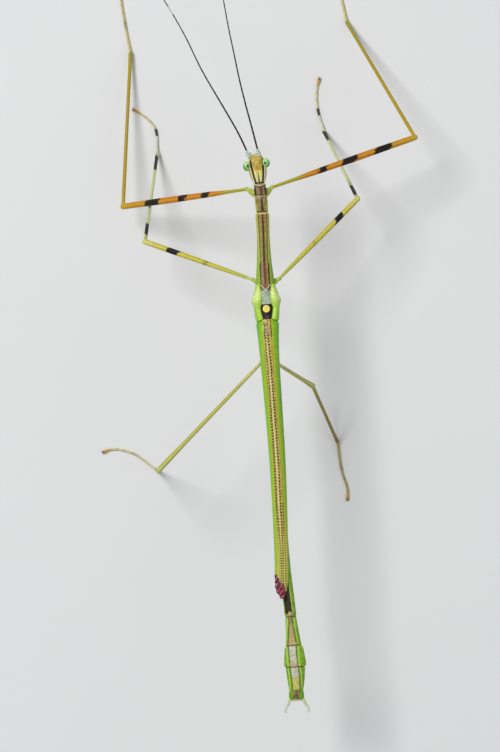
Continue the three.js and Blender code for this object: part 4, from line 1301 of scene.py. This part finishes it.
# Rows of dots: [places along], [their offsets from the midline], pitch, half-width, half-length, ink
DOT_ROWS = [
    ([-0.2, 0.3, 1.1, 1.9], [-0.36, -0.38, -0.42, -0.42], 0.19, 0.045, 0.07, 0.9),
    ([-0.2, 0.3, 1.1, 1.9], [0.3, 0.32, 0.34, 0.34], 0.23, 0.042, 0.08, 0.9),
    ([-0.2, 0.2, 0.9, 1.5], [0.0, -0.08, -0.02, -0.06], 0.27, 0.06, 0.08, 0.8),
    ([1.15, 3, 5, 20, 25, 30], [-0.05, 0.01, 0.07, 0.09, 0.17, 0.2], 0.345, 0.1, 0.13, 0.98),
    ([0.2, 2.2, 6, 20, 25, 30], [-0.35, -0.33, -0.29, -0.32, -0.06, 0.0], 0.33, 0.085, 0.115, 0.97),
    ([3.0, 5, 9, 20, 25, 30], [-0.5, -0.55, -0.45, -0.42, -0.28, -0.2], 0.35, 0.055, 0.085, 0.75),
    ([20, 22, 25, 30], [0.34, 0.36, 0.42, 0.52], 0.34, 0.07, 0.11, 0.92),
]


def tear(s, out, points):
    """How far a place at the crumpled end of the wing is bare purple membrane, 0 to 1."""
    ragged = 0.7 * (noise(points, 0.4, 97) - 0.5)
    return ramp(-0.15, 0.15, s - 28.2 - 1.5 * (out + 0.6) + ragged)


def creases(s, out, points):
    """Slanting waves of the crumpled membrane, -1 to 1."""
    return np.sin(9 * (s + 1.2 * out) + 5 * noise(points, 0.5, 99))


def dots(s, out, points):
    """The rows of dots as layers of paint, nearly black and browner towards the rear."""
    ragged = 0.35 * (noise(points, 0.13, 94) - 0.5)
    worn = ramp(21, 26, s) * flecks(points, 0.35, 95, 0.3, 0.75)
    dark = blend((32, 15, 9), (92, 48, 26), worn)
    for places, offsets, pitch, half, length, ink in DOT_ROWS:
        shake = noise(points, 0.4, int(pitch * 1000)) - 0.5
        rear = (CLOSER + (WING_END - CLOSER) * pitch / CLOSE_PITCH) / pitch
        count = np.interp(s, [-1, CLOSER, WING_END], [-1 / pitch, CLOSER / pitch, rear])
        phase = ((count + 0.05 * shake / pitch) % 1 - 0.5) * pitch
        size = 1 - 0.08 * ramp(10, 15, s) * (half > 0.09) - 0.06 * ramp(CLOSER, CLOSER + 1, s)
        aside = out - np.interp(s, places, offsets) + 0.05 * shake + 0.25 * phase
        gap = np.hypot(phase / length, aside / half) / size + ragged
        here = ramp(places[0], places[0] + 0.3, s) * ramp(places[-1], places[-1] - 0.3, s)
        yield dark, ink * here * ramp(1.15, 0.85, gap)


def paint_wing(part, out, top, side):
    """Ribbed green flanks and a golden band with its rows of dots, torn to membrane at the end, with
    painted shade on the right wing and painted highlights on the membrane's creases.
    """
    s, p = part.along, part.points
    left, right = rows_at(BAND_ROWS, s)
    gap = np.minimum(out - left, right - out)
    shore = np.clip(np.minimum(np.abs(out - left), np.abs(out - right)) / 0.7, 0, 1)
    green = coats(blend((172, 204, 40), (142, 204, 34), ramp(0.0, 0.6, shore)), [
        ((112, 188, 26), ramp(0.6, 1.0, shore)),
        # painted shade: the right wing's flank is darker green from a little behind its root
        ((82, 148, 16), 0.6 * (side > 0) * ramp(4, 9, s) * ramp(0.3, 0.8, shore)),
        ((168, 200, 54), 0.7 * ramp(22, 28, s)),
    ])
    ribs = ramp(0.3, 0.9, wave(s / RIB_PITCH + 0.5 * np.abs(out), 1.0))
    green = mix(green, green * 0.5, 0.6 * ribs)
    light_at = np.interp(s, [0, 5, 20, 26], [-0.2, -0.1, -0.12, 0.05])
    mottle = blend((136, 100, 50), (214, 192, 112), flecks(p, 0.2, 89, 0.2, 0.7))
    gold = coats(blend((184, 164, 66), (208, 192, 98), flecks(p, 0.22, 91, 0.35, 0.7)), [
        ((234, 222, 150), 0.8 * bump(out, light_at, 0.1)),
        ((154, 132, 34), 0.7 * ramp(0.16, 0.02, right - out) * ramp(24, 20, s)),
        ((160, 172, 60), 0.6 * ramp(0.22, 0.04, out - left)),
        ((198, 200, 88), 0.75 * ramp(22, 27, s)),
        (mottle, ramp(2.4, 1.0, s)),
    ])
    edge = ramp(0.07, 0.03, np.abs(gap - 0.03)) * flecks(p, 0.2, 92, 0.35, 0.5)
    membrane = coats(blend((140, 40, 66), (46, 9, 18), flecks(p, 0.28, 98, 0.34, 0.58)), [
        ((150, 54, 40), 0.7 * ramp(0.0, 0.5, out) * (1 - flecks(p, 0.25, 96, 0.4, 0.65))),
        # painted highlights: pink on the crests of the membrane's creases, on its left side only
        ((226, 160, 172), 0.75 * ramp(0.75, 1.0, creases(s, out, p)) * ramp(0.3, -0.1, out)),
    ])
    return coats(green, [
        ((180, 218, 74), 0.3 * flecks(p, 0.3, 90, 0.5, 0.8)),
        ((190, 196, 48), 0.85 * ramp(-0.13, -0.05, gap) * ramp(0.3, 0.6, top)),
        (gold, ramp(-0.03, 0.03, gap)),
        ((62, 32, 20), 0.9 * ramp(1.9, 1.3, s) * edge),
        *dots(s, out, p),
        (membrane, tear(s, out, p)),
    ])


def add_hind_wing(side_name, side):
    """A folded hind wing: an arched leathery strip with ribs, the right one just over the left."""
    s = np.r_[np.arange(-0.26, 0.5, 0.025), np.arange(0.5, WING_LINE.length + 0.02, 0.028)]
    row = s[:, None]
    width, low, crown = (c[:, None] for c in rows_at(WING_ROWS, s))
    centre, across, up = (v[:, None] for v in WING_LINE.frame(s))
    thickness = np.interp(row, [0, 1, 28, 30.6], [0.16, 0.12, 0.1, 0.04])
    start = -0.14 if side > 0 else 0.02
    first = np.arcsin(np.clip(start / width, -0.6, 0.6))

    def arch(share, backwards):
        a = first + (np.pi / 2 - first) * share
        shrink = thickness * ramp(-0.1, 0.35, a) * ramp(1.05, 0.9, share) + 0.008 if backwards else 0 * a
        lift = 0.02 * ramp(0.3, 0.1, a) * (side > 0)
        z = low + (crown - shrink - low) * np.abs(np.cos(a)) ** 0.8 + lift
        rib = 0.004 * np.cos(TURN_ROUND * row / RIB_PITCH) * ramp(0.4, 0.9, a)
        fold = 0.02 * bump(a, 0.5, 0.05) - 0.02 * bump(a, 0.68, 0.07)
        out = (width - shrink) * np.sin(a) + (0 if backwards else rib + fold)
        return centre + across * (side * out)[..., None] + up * z[..., None], a

    outer, a = arch(np.linspace(0, 1, OUTER_CELLS), False)
    inner, b = arch(np.linspace(1, 0, INNER_CELLS), True)
    rings, angles = np.concatenate([outer, inner], axis=1), np.concatenate([a, b], axis=1)
    wide = width * np.sin(angles) * side
    along = row + 0 * angles
    loose = tear(along, wide, rings) * ramp(27.8, 29.0, along)
    shake = np.stack([noise(rings, 0.45, 101 + k) - 0.5 for k in range(3)], -1) * (0.3, 0.3, 0.2)
    shake[..., 2] += 0.05 * creases(along, wide, rings)
    part = Part("folded_wing_" + side_name, rings + loose[..., None] * shake, s)
    ends = [np.cos(angles[0]).mean(), np.cos(angles[-1]).mean()]
    colour = paint_wing(part, np.r_[wide.ravel(), 0, 0], np.r_[np.cos(angles).ravel(), ends], side)
    add_piece(part.name, part.mesh(), colour, 0.5, leather, "hind_wing", "wing_" + side_name)


add_pair(add_hind_wing)

# ---- claws, spines, teeth and palps

SPIKE_RINGS = 8


def curved_cone(path, radius, sides=8):
    """A tapering curved spike through the points of a path."""
    line = Line(path)
    s = np.linspace(0, line.length, SPIKE_RINGS)
    taper = radius * np.clip(1 - (s / line.length) ** 1.4, 0.06, 1)
    return tube("spike", line.inside(s), taper, taper, sides)


def thorn(base, tip, radius, sides=8, raised=0.0):
    """A spike from base to tip, with its middle raised off the straight line."""
    return curved_cone([base, (base + tip) / 2 + UP * raised, tip], radius, sides)


def add_small_parts(name, small_parts, colour_of, slot_name):
    """Many small parts as one horny piece; colour_of gives a part's colour."""
    points, faces, tints, start = [], [], [], 0
    for part in small_parts:
        points.append(metres(part.points))
        faces += (part.quads + start).tolist() + (part.tips + start).tolist()
        tints.append(np.broadcast_to(colour_of(part), part.points.shape))
        start += len(part.points)
    mesh = bpy.data.meshes.new(name)
    mesh.from_pydata(np.vstack(points).tolist(), [], faces)
    add_piece(name, mesh, np.vstack(tints), 0.3, horn, slot_name)


# A claw's path: [to its own side, ahead, up] from the tip of the foot
CLAW = [(0.04, 0, 0), (0.12, 0.12, 0.03), (0.17, 0.26, -0.02), (0.16, 0.35, -0.14)]
CLAW_RADIUS = 0.05
PAD = {"radius": 0.09, "flat": 0.7, "below": 0.05, "from": -0.02, "to": 0.24, "rings": 9}


def foot_claws():
    """Two curved claws on each foot, and the soft pad between them."""
    small_parts = []
    for leg, stance in STANCES.items():
        turns = stance["turns"][2:]
        line, marks = foot_line(leg_points(leg)[2], LEGS[leg.split("_")[0]]["tarsus"], turns)
        tip = line.inside(np.array(marks[-1] - 0.08))
        ahead = heading(turns[2])
        beside = np.array([ahead[1], -ahead[0], 0])
        for side in (-1, 1):
            path = [tip + beside * side * out + ahead * far + UP * up for out, far, up in CLAW]
            small_parts.append(curved_cone(path, CLAW_RADIUS))
        run = np.linspace(PAD["from"], PAD["to"], PAD["rings"])[:, None]
        bulge = np.sqrt(np.clip(1 - np.linspace(-0.9, 0.98, PAD["rings"]) ** 2, 0.02, 1))
        radius = PAD["radius"] * bulge
        path = tip + ahead * run - UP * PAD["below"]
        small_parts.append(tube("pad", path, radius, radius * PAD["flat"], 10))
    return small_parts


def claw_colour(part):
    if part.name == "pad":
        return linear(120, 92, 56)
    return blend((170, 116, 50), (34, 20, 12), ramp(0.3, 0.8, part.along / part.along.max()))


# Spines beside the pronotum: [distance, out, height]
SIDE_SPINES = [(4.62, 0.66, -0.05), (4.95, 0.68, -0.1), (5.35, 0.7, -0.02), (5.8, 0.69, -0.1)]
COXA_WARTS = {"front": 22, "mid": 8, "hind": 8}


def body_spines():
    """Pale spines of the collar and the thorax's sides, and the warts of the coxae."""
    spines = []
    rng = np.random.default_rng(4)
    for side in (-1, 1):
        collar = on_body(side * 0.62, 3.42, 0.26)
        spines.append(thorn(collar, on_body(side * 0.86, 3.52 + 0.06 * side, 0.34), 0.09, raised=0.03))
        for s, out, height in SIDE_SPINES:
            tip = on_body(side * (out + 0.13), s - 0.05, height + 0.06)
            spines.append(thorn(on_body(side * (out - 0.12), s, height), tip, 0.05))
        for s in np.arange(7.2, 14.0, 0.55):
            wide = float(body_sizes(np.array([s]))[0][0])
            height = rng.uniform(-0.2, 0.05)
            tip = on_body(side * (wide + rng.uniform(0.03, 0.06)), s, height + 0.03)
            spines.append(thorn(on_body(side * (wide - 0.07), s, height), tip, 0.04))
    for leg in STANCES:
        hip, _, _, root = leg_points(leg)
        way = (hip - root) / np.linalg.norm(hip - root)
        beside = np.cross(way, UP)
        for _ in range(COXA_WARTS[leg.split("_")[0]]):
            share, angle = rng.uniform(0.45, 0.95), rng.uniform(0, TURN_ROUND)
            normal = beside * math.cos(angle) + np.cross(beside, way) * math.sin(angle)
            radius = float(rows_at(COXA_ROWS, share)[0])
            base = root + (hip - root) * share + normal * (radius - 0.04)
            spines.append(thorn(base, base + normal * rng.uniform(0.09, 0.14) + way * 0.02, 0.045))
    return spines


TOOTH_PITCH, TOOTH_SINK, TOOTH_RADIUS = 0.035, 0.03, 0.025


def limb_teeth():
    """Two rows of fine teeth under each femur and tibia."""
    teeth = []
    rng = np.random.default_rng(7)
    for leg in STANCES:
        hip, knee, ankle, _ = leg_points(leg)
        sizes = LEGS[leg.split("_")[0]]
        femur, tibia = (hip, knee, sizes["femur_rows"], 0.3), (knee, ankle, sizes["tibia_rows"], 0.1)
        for start, end, rows, first in (femur, tibia):
            way = (end - start) / np.linalg.norm(end - start)
            beside = np.cross(way, UP) / np.linalg.norm(np.cross(way, UP))
            under = -np.cross(beside, way)
            for share in np.arange(first, 0.96, TOOTH_PITCH):
                for side in (-1, 1):
                    place = share + rng.uniform(-0.01, 0.01)
                    normal = under * 0.75 + beside * side * 0.66
                    height = float(rows_at(rows, place)[0]) - TOOTH_SINK
                    base = start + (end - start) * place + normal * height
                    tip = base + normal * rng.uniform(0.05, 0.08) + way * 0.05
                    teeth.append(thorn(base, tip, TOOTH_RADIUS, 6))
    return teeth


# A palp's farthest reach to the side, its lowest point and its root
PALPS = ((0.5, 1.2, 0.1), (0.32, 1.3, 0.35))
PALP_RINGS, PALP_SIDES = 24, 14


def palps():
    """Two pairs of jointed palps below the mouth."""
    made = []
    for side in (-1, 1):
        for out, low, back in PALPS:
            line = Line([
                on_body(side * 0.22, back + 0.2, -0.9),
                on_body(side * out, back, -1.02),
                on_body(side * (out + 0.05), back - 0.25, -low),
                on_body(side * out * 0.8, back - 0.4, -low - 0.08),
            ])
            s = np.linspace(0, line.length, PALP_RINGS)
            share = s / line.length
            radius = 0.075 - 0.01 * np.cos(share * 6 * np.pi) - 0.02 * share
            radius *= np.sqrt(np.clip(dome((s - line.length + 0.06) / 0.065), 0.05, 1))
            made.append(tube("palp", line.inside(s), radius, radius, PALP_SIDES))
    return made


horn = cuticle("horn", 0.3, blotch=0.12, coat=0.2)
add_small_parts("claws", foot_claws(), claw_colour, "tarsus")
add_small_parts("spines", body_spines(), lambda part: linear(*PALE_LIME), "coxa")
add_small_parts("teeth", limb_teeth(), lambda part: linear(170, 140, 60), "front_femur")
add_small_parts("palps", palps(), lambda part: linear(176, 176, 96), "mouthparts")

# ---- stage, light and camera

FLOOR_HALF = 1.5  # metres
CAMERA_HEIGHT, BODY_HEIGHT = 617.0, 17.0
PIXELS_PER_MM = 9.0  # of the picture, at the height of the body
PICTURE_HEIGHT = 752
SENSOR = 36.0


def add_floor():
    """A pale matt floor, which belongs to the stage and not to the animal."""
    mesh = bpy.data.meshes.new("floor")
    corners = [(x * FLOOR_HALF, y * FLOOR_HALF, 0) for x, y in ((-1, -1), (1, -1), (1, 1), (-1, 1))]
    mesh.from_pydata(corners, [], [(0, 1, 2, 3)])
    graph = Graph("floor_paint", 0.8)
    place = graph.add("TexCoord", "Object")
    cloud = graph.add("TexNoise", "Fac", {"Vector": place, "Scale": 40.0, "Detail": 3.0})
    tone = graph.add("MapRange", "Result", {"Value": cloud, "To Min": 0.8, "To Max": 0.84})
    graph.fill(graph.shader, {"Base Color": tone})
    mesh.materials.append(graph.material)
    new_object("floor", mesh)


def add_light(name, place, size, power):
    """A round soft light, aimed at the middle of the floor."""
    lamp = bpy.data.lights.new(name, "AREA")
    lamp.shape = "DISK"
    lamp.size = size
    lamp.energy = power
    holder = new_object(name, lamp)
    holder.location = place
    holder.rotation_euler = (-Vector(place)).to_track_quat("-Z", "Y").to_euler()


add_floor()
add_light("key", (-0.26, 0.2, 0.55), 0.22, 2.6)
add_light("fill", (0.4, -0.2, 0.45), 0.5, 0.5)
world = bpy.data.worlds.new("soft")
world.use_nodes = True
background = world.node_tree.nodes["Background"]
background.inputs["Color"].default_value = (0.95, 0.97, 1.0, 1)
background.inputs["Strength"].default_value = 0.3
bpy.context.scene.world = world
bpy.context.scene.view_settings.view_transform = "Standard"

lens = bpy.data.cameras.new("camera")
lens.sensor_width = SENSOR
lens.lens = SENSOR * (CAMERA_HEIGHT - BODY_HEIGHT) * PIXELS_PER_MM / PICTURE_HEIGHT
lens.clip_start, lens.clip_end = 0.01, 10.0
camera = new_object("camera", lens)
camera.location = metres((0.0, 0.0, CAMERA_HEIGHT))
bpy.context.scene.camera = camera
